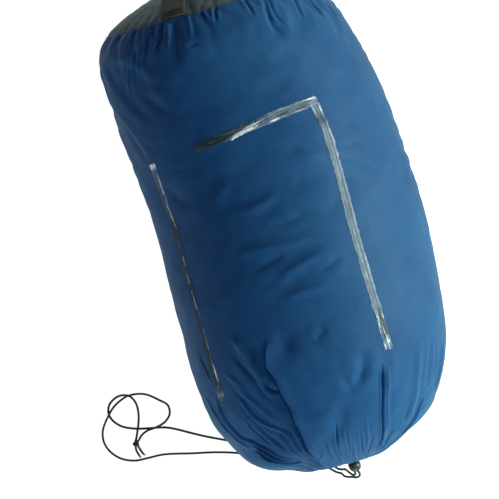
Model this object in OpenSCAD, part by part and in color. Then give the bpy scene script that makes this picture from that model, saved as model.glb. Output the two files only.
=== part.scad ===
// A bivy sack packed in its nylon stuff sack, lying on its side.
// +Z is up, the drawcord mouth faces -Y and the grey end panel faces +Y.
// Origin: on the floor, under the middle of the packed sack.

/* [Sack fabric] */
// Thickness of the blue shell
shell_t = 1.2; // [0.8:0.1:1.6]
// Number of facets round the sack
cols = 48; // [36:4:56]
// Rings between two stations of the sack
steps = 2; // [1:1:2]

/* [End panel] */
// Radius of the round seam
seam_r = 101; // [98:1:101]
// How far the end panel domes out
dome_h = 31; // [26:1:32]
// Lean of the round seam towards the mouth, degrees
seam_tilt = 6.6; // [5:0.1:8]

/* [Grab handle] */
// Width of the webbing
web_w = 25; // [20:1:25]
// Thickness of the webbing
web_t = 1.8; // [1.4:0.1:2]
// Height of the handle's arc above the seam
handle_h = 47; // [46:1:50]
// Angle of the handle round the end panel, from the vertical
handle_turn = 18; // [0:1:30]

/* [Mouth and drawcord] */
// Radius of the gathered hem, to the middle of its channel
mouth_r = 17; // [16:0.5:17]
// Outer radius of the hem's channel
hem_r = 4.3; // [4:0.1:4.3]
// Diameter of the drawcord
cord_d = 2.5; // [2:0.1:2.5]

/* [Cord lock] */
// Outer radius of the barrel
lock_r = 6.2; // [6:0.1:6.4]
// Radius of the plunger
plunger_r = 4.1; // [3.9:0.1:4.2]

/* [Contents] */
// Half width of the rolled bivy
roll_a = 92; // [84:1:92]
// Half height of the rolled bivy
roll_b = 86; // [80:1:86]
// Number of turns in the roll
turns = 4; // [3:1:4]

/* [Hidden] */

// Stations of the sack: y, centre x, half width, half height, centre height, lean
ST = [
    [-245.4, -3,   21.6, 21.6, 113, 0],
    [-249.4, -3.5, 28,   27,  112.5, 0],
    [-252,   -5,   38,   36,  112,   0],
    [-249,   -7.5, 52,   49,  111,   0],
    [-240,   -10,  72,   67,  110,   0],
    [-224,   -7,   95,   87,  108,   0],
    [-200,   -3.5, 112,  103, 106,   0],
    [-170,   -2,   124.5, 112, 105,  0],
    [-130,   0.5,  130.5, 118, 105,  0],
    [-80,    3,    132,  120, 105,   0],
    [-20,    5.5,  131,  120, 105,   0],
    [40,     4.5,  129.5, 119, 105,  0],
    [90,     0,    130,  118, 106,   0],
    [140,    -7,   129,  115, 107,   0.03],
    [180,    -12.5, 123.5, 111, 108, 0.08],
    [205,    -16.5, 113.5, 106, 108, 0.105],
    [219,    -19,  seam_r, seam_r, 108, tan(seam_tilt)]
];
NS = len(ST) - 1;
// Seam centre of the end panel and centre of the mouth
PC = [-19, 219, 108];
MC = [-3, -246.6, 113];
// Cord lock: centre of the barrel, height of the cord hole
LX = 0;
LY = -257.6;
LZ = 129.5;

// Smooth curve through the stations, u runs from 0 to NS
function cr(p0, p1, p2, p3, t) = 0.5 * (2 * p1 + (p2 - p0) * t + (2 * p0 - 5 * p1 + 4 * p2 - p3) * t * t + (3 * p1 - p0 - 3 * p2 + p3) * t * t * t);
function st(u) = let (i = min(NS - 1, floor(u)), t = u - i)
    cr(ST[max(0, i - 1)], ST[i], ST[i + 1], ST[min(NS, i + 2)], t);
// Point on the sack, d outside its surface, never under the floor
function sp(u, th, d) = let (s = st(u), f = st(min(NS, u + 0.05)) - st(max(0, u - 0.05)), l = norm([f[0], f[2]]),
        e = d * f[0] / l, z = max(s[4] + (s[3] + e) * sin(th), max(0, -d)))
    [s[1] + (s[2] + e) * cos(th), s[0] - d * f[2] / l - s[5] * (z - s[4]), z];
// The same for a given y on the long body of the sack
RU = [for (k = [0 : (NS - 4) * steps]) 4 + k / steps];
TY = [for (u = RU) [st(u)[0], st(u)[1]]];
TA = [for (u = RU) [st(u)[0], st(u)[2]]];
TB = [for (u = RU) [st(u)[0], st(u)[3]]];
TZ = [for (u = RU) [st(u)[0], st(u)[4]]];
function top_pt(x, y, d) = let (a = lookup(y, TA) + d, b = lookup(y, TB) + d, q = (x - lookup(y, TY)) / a)
    [x, y, lookup(y, TZ) + b * sqrt(max(0, 1 - q * q))];

// Closed tube of rings: outer rings, then inner rings back again
module ring_solid(rings) {
    n = len(rings[0]);
    m = len(rings);
    pts = [for (r = rings) each r];
    faces = [for (i = [0 : m - 1], j = [0 : n - 1])
        let (a = i * n + j, b = i * n + (j + 1) % n, c = ((i + 1) % m) * n + (j + 1) % n, d = ((i + 1) % m) * n + j)
        each [[a, b, c], [a, c, d]]];
    polyhedron(points = pts, faces = faces, convexity = 6);
}
// Solid swept through closed sections, capped at both ends
module swept(rings) {
    n = len(rings[0]);
    m = len(rings);
    pts = [for (r = rings) each r];
    faces = concat(
        [[for (j = [0 : n - 1]) j]],
        [for (i = [0 : m - 2], j = [0 : n - 1])
            let (a = i * n + j, b = i * n + (j + 1) % n, c = (i + 1) * n + (j + 1) % n, d = (i + 1) * n + j)
            each [[a, c, b], [a, d, c]]],
        [[for (j = [n - 1 : -1 : 0]) (m - 1) * n + j]]);
    polyhedron(points = pts, faces = faces, convexity = 6);
}
function unit(v) = v / norm(v);
// Tangent at point i of a route
function tan_at(p, i) = unit(p[min(len(p) - 1, i + 1)] - p[max(0, i - 1)]);
// Carries a side vector along the route without twisting it
function side_at(p, i) = i == 0
    ? unit(cross(tan_at(p, 0), abs(tan_at(p, 0)[2]) > 0.9 ? [0, 1, 0] : [0, 0, 1]))
    : let (s = side_at(p, i - 1), t = tan_at(p, i)) unit(s - (s * t) * t);
function tube_ring(p, i, r, n) = let (t = tan_at(p, i), s = side_at(p, i), w = cross(t, s))
    [for (k = [0 : n - 1]) let (c = p[i] + r * cos(360 * k / n) * s + r * sin(360 * k / n) * w) [c[0], c[1], max(c[2], 0)]];
module tube(p, r, n = 8) {
    swept([for (i = [0 : len(p) - 1]) tube_ring(p, i, r, n)]);
}

// Routes of the drawcord, from the cord lock down to the floor
LEAD_A = [[-1.6, -263.8, 129.5], [-1.4, -266, 129], [-3, -267, 126.5], [-5.2, -265.9, 121.5], [-7.8, -263.2, 114], [-9.8, -261.4, 106], [-12.4, -262, 96],
          [-16, -261.6, 84], [-19.6, -258.8, 73], [-24, -255.2, 60], [-28.5, -252.6, 48], [-32.5, -250, 35], [-37, -247.5, 22], [-43, -245, 11],
          [-50, -242.5, 4.5], [-58, -240, 1.7], [-68, -237, 1.3]];
LEAD_B = [[1.6, -263.8, 129.5], [2.6, -266.2, 129.3], [2.2, -268.9, 128], [-0.8, -270.2, 125], [-4.6, -269.5, 119.5], [-8.6, -268.9, 112.5],
          [-11.9, -268.3, 105], [-13.6, -265.9, 98.5], [-15.6, -265.2, 91], [-18.6, -264.6, 81], [-22.4, -262, 70], [-26.2, -258.8, 60], [-30, -256.8, 49],
          [-34, -254.6, 36], [-38.5, -252.5, 23], [-44, -250.8, 11.5], [-50, -249.5, 4.5], [-57, -248.3, 1.7], [-66, -247, 1.3]];
// Routes through the lock, from the cord inside the hem
NECK_A = [[-2.6, -246.6, 130], [-1.9, -248, 129.8], [-1.6, -250, 129.5], [-1.6, -253.5, 129.5], [-1.6, -258.5, 129.5], [-1.6, -263.8, 129.5]];
NECK_B = [[4.2, -246.6, 128.5], [2.6, -248, 129.1], [1.6, -250, 129.5], [1.6, -253.5, 129.5], [1.6, -258.5, 129.5], [1.6, -263.8, 129.5]];
// Routes on the floor, from under the sack to the knot
FLOOR_A = [[-68, -237, 1.3], [-84, -228.5, 1.3], [-100, -220, 1.3], [-117, -211, 1.3], [-140, -199.5, 1.3], [-155, -191, 1.3], [-168, -183.5, 1.3], [-178, -179, 1.3],
           [-193, -175.5, 1.3], [-207, -172, 1.3], [-221, -165.5, 1.3], [-229, -156, 1.3], [-230.5, -148, 1.3], [-227.5, -140.5, 1.5], [-220.5, -135.5, 2.6],
           [-212.5, -134, 4], [-204.5, -137, 4], [-200, -146, 2.6], [-200.5, -158, 2.8], [-203.5, -168, 4], [-207, -176, 4], [-209.7, -181.8, 4.2]];
FLOOR_B = [[-66, -247, 1.3], [-80, -241, 1.3], [-95, -234, 1.3], [-109, -227, 1.3], [-133, -219, 1.3], [-156, -213.5, 1.3], [-187, -206, 1.3], [-204, -205, 1.3],
           [-217, -204, 1.3], [-230, -198.5, 1.3], [-239.5, -188.5, 1.3], [-243.5, -177, 1.5], [-241.5, -165, 2.8], [-234, -154, 4], [-224, -144, 4],
           [-216, -139.5, 2.2], [-205, -136.5, 1.3], [-189, -139.5, 1.3], [-176, -149.5, 1.3], [-168.5, -157.5, 1.3], [-169, -166.5, 1.5], [-175.5, -173, 2.8],
           [-185, -176, 4], [-197, -177.2, 4], [-203.8, -180.4, 4], [-207.6, -184.2, 4.2]];
KNOT = [-211.4, -186.5, 4];
TAIL_A = [[-212.6, -189.6, 3.2], [-213.2, -193.5, 1.7], [-212.4, -198, 1.3], [-210.6, -203, 1.3]];
TAIL_B = [[-210.2, -189.4, 3.4], [-209.4, -193, 1.7], [-208, -197.5, 1.3], [-205.8, -202, 1.3]];

// Places a piece on the plane of the round end seam, its z pointing out
module on_end() { translate(PC) rotate([seam_tilt - 90, 0, 0]) children(); }
// Radius of the dome's sphere and of the handle's arc
dome_R = (seam_r * seam_r + dome_h * dome_h) / (2 * dome_h);
arc_R = (seam_r * seam_r + handle_h * handle_h) / (2 * handle_h);
// Piece of the handle's arc from angle a0 to a1 off its middle
module web_arc(a0, a1, t0, t1, w) {
    on_end() rotate([0, 0, 90 - handle_turn]) translate([0, 0, handle_h - arc_R]) rotate([90, 0, 0]) rotate([0, 0, 90 + a0])
        rotate_extrude(angle = a1 - a0, $fn = 96) translate([arc_R + t0, -w / 2]) square([t1 - t0, w]);
}
// Strip of film or seam lying on the top of the sack along a row of [x, y] points
module film(p, w, t, along_y) {
    swept([for (q = p) let (dx = along_y ? w / 2 : 0, dy = along_y ? 0 : w / 2, g = along_y ? 1 : -1)
        [top_pt(q[0] - dx, q[1] - dy, 0.15), top_pt(q[0] - dx, q[1] - dy, 0.15 + t),
         top_pt(q[0] + dx, q[1] + dy, 0.15 + t), top_pt(q[0] + dx, q[1] + dy, 0.15)]]);
}
// Ribbon of one layer of the roll
function rib(k, o, ph) = let (f = 360 * turns * k / (24 * turns), r = 15 + ph + o + (roll_a - 29.5) * k / (24 * turns))
    [r * cos(f), r * roll_b / roll_a * sin(f)];
module layer(ph, t) {
    n = 24 * turns;
    translate([-3, 195, 106]) rotate([90, 0, 0]) linear_extrude(height = 385)
        polygon(concat([for (k = [0 : n]) rib(k, t / 2, ph)], [for (k = [n : -1 : 0]) rib(k, -t / 2, ph)]));
}

module sack_body() {
    us = [for (k = [0 : NS * steps]) k / steps];
    color("#27517f") ring_solid(concat(
        [for (u = us) [for (j = [0 : cols - 1]) sp(u, 360 * j / cols, 0)]],
        [for (k = [len(us) - 1 : -1 : 0]) [for (j = [0 : cols - 1]) sp(us[k], 360 * j / cols, -shell_t)]]));
}
module end_panel() {
    color("#5d6863") on_end() difference() {
        translate([0, 0, dome_h - dome_R]) sphere(r = dome_R, $fn = 96);
        translate([0, 0, dome_h - dome_R]) sphere(r = dome_R - 1.2, $fn = 96);
        translate([0, 0, -2 * dome_R + 0.6]) cylinder(r = 2 * dome_R, h = 2 * dome_R, $fn = 64);
    }
}
module end_seam_binding() {
    color("#3b423f") on_end() rotate_extrude($fn = 96) translate([seam_r - 5.5, -9.5]) square([1.2, 9]);
}
module side_seam() {
    n = NS * steps;
    color("#234a75") swept([for (k = [7 * steps : n - 1]) let (u = k / steps)
        [sp(u, -36, 0.1), sp(u, -34.2, 0.1), sp(u, -32.4, 0.1), sp(u, -32.4, 0.9), sp(u, -34.2, 0.9), sp(u, -36, 0.9)]]);
}
module cord_channel() {
    color("#244872") translate(MC) rotate([90, 0, 0]) difference() {
        rotate_extrude($fn = 72) translate([mouth_r, 0]) circle(r = hem_r, $fn = 32);
        rotate_extrude($fn = 72) translate([mouth_r, 0]) circle(r = hem_r - 1.2, $fn = 32);
        // Buttonhole for both cord ends, in the front of the hem
        translate([LX - MC[0], LZ - MC[2], 0]) buttonhole(0, 8);
    }
}
// Long hole with round ends, w wider than the cords, h deep
module buttonhole(w, h) {
    translate([-1.7, -1.55 - w, 0]) cube([3.4, 3.1 + 2 * w, h]);
    for (x = [-1.7, 1.7]) translate([x, 0, 0]) cylinder(r = 1.55 + w, h = h, $fn = 24);
}
module buttonhole_rim() {
    color("#1d3554") translate([LX, MC[1] - hem_r + 0.9, LZ]) rotate([90, 0, 0]) difference() {
        buttonhole(0.9, 1.2);
        translate([0, 0, -1]) buttonhole(0, 4);
    }
}
module drawcord_loop() {
    color("#33342d") translate(MC) rotate([90, 0, 0]) rotate([0, 0, 91]) rotate_extrude(angle = 331, $fn = 96)
        translate([mouth_r, 0]) circle(r = cord_d / 2, $fn = 16);
}
// Two short stretches, from inside the hem through the lock
module drawcord_neck() {
    color("#33342d") {
        tube(NECK_A, cord_d / 2);
        tube(NECK_B, cord_d / 2);
    }
}
module drawcord_lead_a() { color("#35362e") tube(LEAD_A, cord_d / 2); }
module drawcord_lead_b() { color("#35362e") tube(LEAD_B, cord_d / 2); }
module drawcord_strand_a() { color("#35362e") tube(FLOOR_A, cord_d / 2); }
module drawcord_strand_b() { color("#35362e") tube(FLOOR_B, cord_d / 2); }
module drawcord_knot() {
    color("#35362e") translate(KNOT) union() {
        sphere(r = 3.6, $fn = 32);
        rotate([35, 20, 0]) rotate_extrude($fn = 32) translate([2.4, 0]) circle(r = 1.5, $fn = 16);
    }
}
module drawcord_tails() {
    color("#35362e") {
        tube(TAIL_A, cord_d / 2);
        tube(TAIL_B, cord_d / 2);
    }
}
// Round-topped barrel with a hole across it for the two cords
module lock_barrel() {
    color("#2f3434") difference() {
        union() {
            translate([LX, LY, LZ - 9.6]) cylinder(r = lock_r, h = 14, $fn = 48);
            translate([LX, LY, LZ + 4.4]) intersection() {
                sphere(r = lock_r, $fn = 48);
                cylinder(r = lock_r + 1, h = lock_r + 1, $fn = 48);
            }
        }
        translate([LX, LY, LZ - 10]) cylinder(r = plunger_r + 0.25, h = 17.9, $fn = 48);
        translate([LX - 3.2, LY - 10, LZ - 1.4]) cube([6.4, 20, 3.2]);
    }
}
// Coil spring as closed turns, above the plunger
module lock_spring() {
    color("#9a9fa3") translate([LX, LY, LZ]) for (z = [3.45, 5.1, 6.75])
        translate([0, 0, z]) rotate_extrude($fn = 32) translate([3.2, 0]) circle(r = 0.3, $fn = 16);
}
// Push button with its cord window
module lock_plunger() {
    color("#24292a") difference() {
        union() {
            translate([LX, LY, LZ - 14]) cylinder(r = plunger_r, h = 17, $fn = 48);
            translate([LX, LY, LZ - 17]) cylinder(r = plunger_r + 1, h = 3.2, $fn = 48);
        }
        translate([LX - 3.2, LY - 10, LZ - 5.4]) cube([6.4, 20, 6.85]);
    }
}
module handle_strap() { color("#31332d") web_arc(-33, 33, -web_t / 2, web_t / 2, web_w); }
module handle_ends() {
    color("#2b2d28") {
        web_arc(33.3, 49.1, -web_t / 2, web_t / 2, web_w);
        web_arc(-49.1, -33.3, -web_t / 2, web_t / 2, web_w);
    }
}
module handle_bartacks() {
    color("#1c1d1a") {
        web_arc(47, 48.2, web_t / 2 + 0.05, web_t / 2 + 0.6, web_w - 4);
        web_arc(-48.2, -47, web_t / 2 + 0.05, web_t / 2 + 0.6, web_w - 4);
    }
}
module tape_residue_top() {
    color("#b9bfc4") film([for (x = [-64 : 8 : 56]) [x, 88.5 + 0.104 * x]], 8, 0.4, false);
}
module tape_residue_right() {
    color("#b9bfc4") film([for (y = [-152 : 15.25 : 92]) [60, y]], 9, 0.4, true);
}
module tape_residue_left() {
    color("#8f979d") film([for (y = [-158 : 15 : 82]) [-106, y]], 7, 0.4, true);
}
module bivy_floor() { color("#3c4a44") layer(0, 6.6); }
module bivy_upper() { color("#6c7d74") layer((roll_a - 29.5) / turns / 2, 6.6); }
module bivy_outer_folds() {
    us = [for (k = [6 * steps : (NS - 2) * steps]) k / steps];
    color("#55655d") ring_solid(concat(
        [for (u = us) [for (j = [0 : cols - 1]) sp(u, 360 * j / cols, -shell_t - 1)]],
        [for (k = [len(us) - 1 : -1 : 0]) let (y = st(us[k])[0])
            [for (j = [0 : cols - 1]) [-3 + (roll_a + 4) * cos(360 * j / cols), y, 106 + (roll_b + 4) * sin(360 * j / cols)]]]));
}
module bivy_zipper() {
    color("#22262a") {
        translate([-17, -216, 106 + roll_b + 0.4]) cube([12, 405, 1]);
        translate([-1, -216, 106 + roll_b + 0.4]) cube([12, 405, 1]);
        translate([-4.8, -216, 106 + roll_b + 0.2]) cube([3.6, 405, 1.6]);
    }
}
module bivy_zip_slider() {
    color("#8c9094") translate([-3, -210, 106 + roll_b + 2.2]) union() {
        translate([-4, -6, 0]) cube([8, 12, 2.4]);
        translate([-1.5, -4, 2]) cube([3, 8, 1.8]);
    }
}

sack_body();
end_panel();
end_seam_binding();
side_seam();
cord_channel();
buttonhole_rim();
drawcord_loop();
drawcord_neck();
drawcord_lead_a();
drawcord_lead_b();
drawcord_strand_a();
drawcord_strand_b();
drawcord_knot();
drawcord_tails();
lock_barrel();
lock_spring();
lock_plunger();
handle_strap();
handle_ends();
handle_bartacks();
tape_residue_top();
tape_residue_right();
tape_residue_left();
bivy_floor();
bivy_upper();
bivy_outer_folds();
bivy_zipper();
bivy_zip_slider();
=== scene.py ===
import bpy, bmesh, math
import numpy as np
from mathutils import Matrix, Vector


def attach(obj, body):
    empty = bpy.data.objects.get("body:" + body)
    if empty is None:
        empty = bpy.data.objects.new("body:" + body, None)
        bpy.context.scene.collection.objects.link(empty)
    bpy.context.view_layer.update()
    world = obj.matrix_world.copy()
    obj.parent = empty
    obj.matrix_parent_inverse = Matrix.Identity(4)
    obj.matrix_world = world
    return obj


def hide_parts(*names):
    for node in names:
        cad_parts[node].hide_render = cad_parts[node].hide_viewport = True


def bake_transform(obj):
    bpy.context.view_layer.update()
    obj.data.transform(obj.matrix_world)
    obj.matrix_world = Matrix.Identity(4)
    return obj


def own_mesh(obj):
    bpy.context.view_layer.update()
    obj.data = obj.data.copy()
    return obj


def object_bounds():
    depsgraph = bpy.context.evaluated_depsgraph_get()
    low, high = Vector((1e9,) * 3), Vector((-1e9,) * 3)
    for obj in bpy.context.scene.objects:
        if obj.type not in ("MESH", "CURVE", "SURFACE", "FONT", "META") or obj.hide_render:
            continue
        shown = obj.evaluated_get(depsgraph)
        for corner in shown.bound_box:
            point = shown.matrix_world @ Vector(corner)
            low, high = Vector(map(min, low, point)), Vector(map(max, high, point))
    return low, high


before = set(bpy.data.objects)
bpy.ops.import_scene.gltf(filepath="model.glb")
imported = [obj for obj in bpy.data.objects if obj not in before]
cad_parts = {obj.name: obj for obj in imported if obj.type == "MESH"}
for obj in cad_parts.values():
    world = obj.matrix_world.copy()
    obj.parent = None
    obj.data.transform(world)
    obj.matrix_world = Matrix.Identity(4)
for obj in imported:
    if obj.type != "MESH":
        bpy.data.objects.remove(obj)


def box_list(b):
    return [[float(v) for v in row] for row in b]


CAD_BOX = box_list(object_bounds())
MM = 0.001
scene = bpy.context.scene
scene.view_settings.view_transform = "Standard"

# ------------------------------------------------------------------ camera, straight above the sack
cam_data = bpy.data.cameras.new("camera")
cam_data.sensor_width = 36.0
cam_data.lens = 36.0 / (2 * math.tan(math.atan(249.5 / 2095.0)))
cam_data.clip_end = 50
cam = bpy.data.objects.new("camera", cam_data)
scene.collection.objects.link(cam)
ROLL = math.radians(16.0)
cam_up = Vector((math.sin(ROLL), math.cos(ROLL), 0))
cam_right = Vector((math.cos(ROLL), -math.sin(ROLL), 0))
cam.matrix_world = Matrix((
    (cam_right.x, cam_up.x, 0, -0.041),
    (cam_right.y, cam_up.y, 0, -0.024),
    (0, 0, 1, 2.2),
    (0, 0, 0, 1)))
scene.camera = cam


# ------------------------------------------------------------------ small tools
def catmull(P, step):
    """Points along a smooth curve through P, about step apart."""
    P = np.asarray(P, float)
    Q = np.vstack([2 * P[0] - P[1], P, 2 * P[-1] - P[-2]])
    out = []
    for i in range(len(P) - 1):
        p0, p1, p2, p3 = Q[i], Q[i + 1], Q[i + 2], Q[i + 3]
        # centripetal knots keep the curve from overshooting at short segments
        t0, t1 = 0.0, np.linalg.norm(p1 - p0) ** 0.5
        t2 = t1 + np.linalg.norm(p2 - p1) ** 0.5
        t3 = t2 + np.linalg.norm(p3 - p2) ** 0.5
        n = max(2, int(round(np.linalg.norm(p2 - p1) / (step * 0.25))))
        for t in np.linspace(t1, t2, n, endpoint=False):
            a1 = (t1 - t) / (t1 - t0) * p0 + (t - t0) / (t1 - t0) * p1
            a2 = (t2 - t) / (t2 - t1) * p1 + (t - t1) / (t2 - t1) * p2
            a3 = (t3 - t) / (t3 - t2) * p2 + (t - t2) / (t3 - t2) * p3
            b1 = (t2 - t) / (t2 - t0) * a1 + (t - t0) / (t2 - t0) * a2
            b2 = (t3 - t) / (t3 - t1) * a2 + (t - t1) / (t3 - t1) * a3
            out.append((t2 - t) / (t2 - t1) * b1 + (t - t1) / (t2 - t1) * b2)
    out.append(P[-1])
    out = np.array(out)
    s = np.concatenate([[0], np.cumsum(np.linalg.norm(np.diff(out, axis=0), axis=1))])
    m = max(3, int(round(s[-1] / step)) + 1)
    t = np.linspace(0, s[-1], m)
    return np.stack([np.interp(t, s, out[:, k]) for k in range(3)], 1)


def frames(P):
    """Tangents and untwisted sides along a path."""
    T = np.gradient(P, axis=0)
    T /= np.linalg.norm(T, axis=1)[:, None]
    S = np.zeros_like(P)
    ref = np.array([0, 0, 1.0]) if abs(T[0, 2]) < 0.9 else np.array([0, 1.0, 0])
    s = np.cross(T[0], ref)
    for i in range(len(P)):
        s = s - (s @ T[i]) * T[i]
        s /= np.linalg.norm(s)
        S[i] = s
    return T, S, np.cross(T, S)


def face_outward(me):
    """Turns the faces of a closed mesh outward where they face in."""
    bm = bmesh.new()
    bm.from_mesh(me)
    if all(e.is_manifold for e in bm.edges):
        if not all(e.is_contiguous for e in bm.edges):
            bmesh.ops.recalc_face_normals(bm, faces=bm.faces)
        if bm.calc_volume(signed=True) < 0:
            bmesh.ops.reverse_faces(bm, faces=bm.faces)
        bm.to_mesh(me)
    bm.free()


def new_mesh(name, verts, faces, mat, smooth=True, attrs=None):
    me = bpy.data.meshes.new(name)
    me.from_pydata((np.asarray(verts, float) * MM).tolist(), [], [list(map(int, f)) for f in faces])
    me.validate()
    face_outward(me)
    me.update()
    if smooth:
        me.polygons.foreach_set("use_smooth", [True] * len(me.polygons))
    for key, val in (attrs or {}).items():
        val = np.asarray(val, np.float32)
        if val.ndim == 2:
            at = me.attributes.new(key, "FLOAT_VECTOR", "POINT")
            at.data.foreach_set("vector", val.ravel())
        else:
            at = me.attributes.new(key, "FLOAT", "POINT")
            at.data.foreach_set("value", val)
    ob = bpy.data.objects.new(name, me)
    scene.collection.objects.link(ob)
    for m in (mat if isinstance(mat, (list, tuple)) else [mat]):
        me.materials.append(m)
    return ob


def grid_faces(nu, nv, wrap=True, flip=False, base=0):
    i, j = np.meshgrid(np.arange(nu - 1), np.arange(nv if wrap else nv - 1), indexing="ij")
    j2 = (j + 1) % nv
    a, b, c, d = i * nv + j, i * nv + j2, (i + 1) * nv + j2, (i + 1) * nv + j
    f = np.stack([a, b, c, d] if not flip else [a, d, c, b], -1).reshape(-1, 4)
    return f + base


def joined(parts):
    """One list of vertices and faces from several."""
    vs, fs, n = [], [], 0
    for v, f in parts:
        vs.append(np.asarray(v, float))
        fs += [[int(k) + n for k in q] for q in f]
        n += len(v)
    return np.vstack(vs), fs


def tube(P, r, sides=12, caps=True, braid=0.0, pitch=2.6):
    """Vertices, faces and thread coordinates of a tube along P. r may be a number or one for each point."""
    P = np.asarray(P, float)
    n = len(P)
    T, S, W = frames(P)
    s = np.concatenate([[0], np.cumsum(np.linalg.norm(np.diff(P, axis=0), axis=1))])
    ang = np.arange(sides) * 2 * math.pi / sides
    R = np.broadcast_to(np.asarray(r, float).reshape(-1, 1), (n, sides)).copy()
    if braid:
        k = s[:, None] / pitch
        a = ang[None, :] / (2 * math.pi)
        p1 = np.cos(2 * math.pi * (k + 2 * a)) * 0.5 + np.cos(2 * math.pi * (k - 2 * a)) * 0.5
        R = R * (1 + braid * np.abs(p1) - braid * 0.6)
    V = P[:, None, :] + R[..., None] * (np.cos(ang)[None, :, None] * S[:, None, :] + np.sin(ang)[None, :, None] * W[:, None, :])
    co = np.stack([np.broadcast_to(ang[None, :] * 1.25, (n, sides)), np.broadcast_to(s[:, None], (n, sides)), np.zeros((n, sides))], -1)
    F = grid_faces(n, sides, True).tolist()
    if caps:
        F.append(list(range(sides - 1, -1, -1)))
        F.append([(n - 1) * sides + k for k in range(sides)])
    return V.reshape(-1, 3), F, co.reshape(-1, 3)


_lat = {}


def noise(u, v, seed, px=64):
    """Smooth value noise from -1 to 1. u repeats every px lattice units."""
    key = (seed, px)
    if key not in _lat:
        _lat[key] = np.random.RandomState(seed).rand(256, px) * 2 - 1
    L = _lat[key]
    iu, iv = np.floor(u).astype(int), np.floor(v).astype(int)
    fu, fv = u - iu, v - iv
    fu, fv = fu * fu * fu * (fu * (fu * 6 - 15) + 10), fv * fv * fv * (fv * (fv * 6 - 15) + 10)
    a, b = L[iv % 256, iu % px], L[iv % 256, (iu + 1) % px]
    c, d = L[(iv + 1) % 256, iu % px], L[(iv + 1) % 256, (iu + 1) % px]
    return (a * (1 - fu) + b * fu) * (1 - fv) + (c * (1 - fu) + d * fu) * fv


def sstep(a, b, x):
    t = np.clip((x - a) / (b - a), 0, 1)
    return t * t * (3 - 2 * t)


# ------------------------------------------------------------------ materials
def material(name, base, rough=0.5, spec=0.5, sheen=0.0, sheen_rough=0.4, sheen_tint=(1, 1, 1), metal=0.0, coat=0.0):
    m = bpy.data.materials.new(name)
    m.use_nodes = True
    nt = m.node_tree
    b = nt.nodes["Principled BSDF"]
    b.inputs["Base Color"].default_value = (*base, 1)
    b.inputs["Roughness"].default_value = rough
    b.inputs["Specular IOR Level"].default_value = spec
    b.inputs["Metallic"].default_value = metal
    b.inputs["Sheen Weight"].default_value = sheen
    b.inputs["Sheen Roughness"].default_value = sheen_rough
    b.inputs["Sheen Tint"].default_value = (*sheen_tint, 1)
    b.inputs["Coat Weight"].default_value = coat
    return m, nt, b


def node(nt, kind, **kw):
    n = nt.nodes.new(kind)
    for k, v in kw.items():
        if k.startswith("in_"):
            n.inputs[int(k[3:]) if k[3:].isdigit() else k[3:]].default_value = v
        else:
            setattr(n, k, v)
    return n


def math_node(nt, op, a, b=None, c=None, clamp=False):
    n = nt.nodes.new("ShaderNodeMath")
    n.operation = op
    n.use_clamp = clamp
    for i, x in enumerate((a, b, c)):
        if x is None:
            continue
        if isinstance(x, (int, float)):
            n.inputs[i].default_value = x
        else:
            nt.links.new(x, n.inputs[i])
    return n.outputs[0]


def coords(nt, attr=None, scale=(1, 1, 1)):
    """Coordinates in millimetres: the fabric's own where attr is given, or the piece's."""
    if attr:
        src = node(nt, "ShaderNodeAttribute", attribute_name=attr).outputs["Vector"]
        k = 1.0
    else:
        src = nt.nodes.new("ShaderNodeTexCoord").outputs["Object"]
        k = 1000.0
    mp = nt.nodes.new("ShaderNodeMapping")
    mp.inputs["Scale"].default_value = [k * s for s in scale]
    nt.links.new(src, mp.inputs["Vector"])
    return mp.outputs["Vector"]


def noise_node(nt, vec, scale, detail=3.0, rough=0.5, distort=0.0):
    n = node(nt, "ShaderNodeTexNoise")
    n.inputs["Scale"].default_value = scale
    n.inputs["Detail"].default_value = detail
    n.inputs["Roughness"].default_value = rough
    n.inputs["Distortion"].default_value = distort
    nt.links.new(vec, n.inputs["Vector"])
    return n.outputs["Fac"]


def ramp(nt, fac, stops):
    r = nt.nodes.new("ShaderNodeValToRGB")
    el = r.color_ramp.elements
    while len(el) < len(stops):
        el.new(0.5)
    for e, (p, c) in zip(el, stops):
        e.position = p
        e.color = (*c, 1) if len(c) == 3 else c
    nt.links.new(fac, r.inputs["Fac"])
    return r.outputs["Color"]


def thread_weave(nt, vec, per_mm, skew=0.0):
    """Plain weave height: warp and weft threads that pass over and under each other."""
    sep = nt.nodes.new("ShaderNodeSeparateXYZ")
    nt.links.new(vec, sep.inputs[0])
    x = math_node(nt, "MULTIPLY", sep.outputs[0], math.pi * per_mm)
    y = math_node(nt, "MULTIPLY", sep.outputs[1], math.pi * per_mm)
    sx = math_node(nt, "SINE", x)
    sy = math_node(nt, "SINE", y)
    return math_node(nt, "MULTIPLY", sx, sy)


def bump(nt, shader, layers):
    """layers is [(height output, strength, distance m)], coarse first."""
    prev = None
    for h, st_, d in layers:
        b = nt.nodes.new("ShaderNodeBump")
        b.inputs["Strength"].default_value = st_
        b.inputs["Distance"].default_value = d
        nt.links.new(h, b.inputs["Height"])
        if prev is not None:
            nt.links.new(prev, b.inputs["Normal"])
        prev = b.outputs["Normal"]
    nt.links.new(prev, shader.inputs["Normal"])


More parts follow.
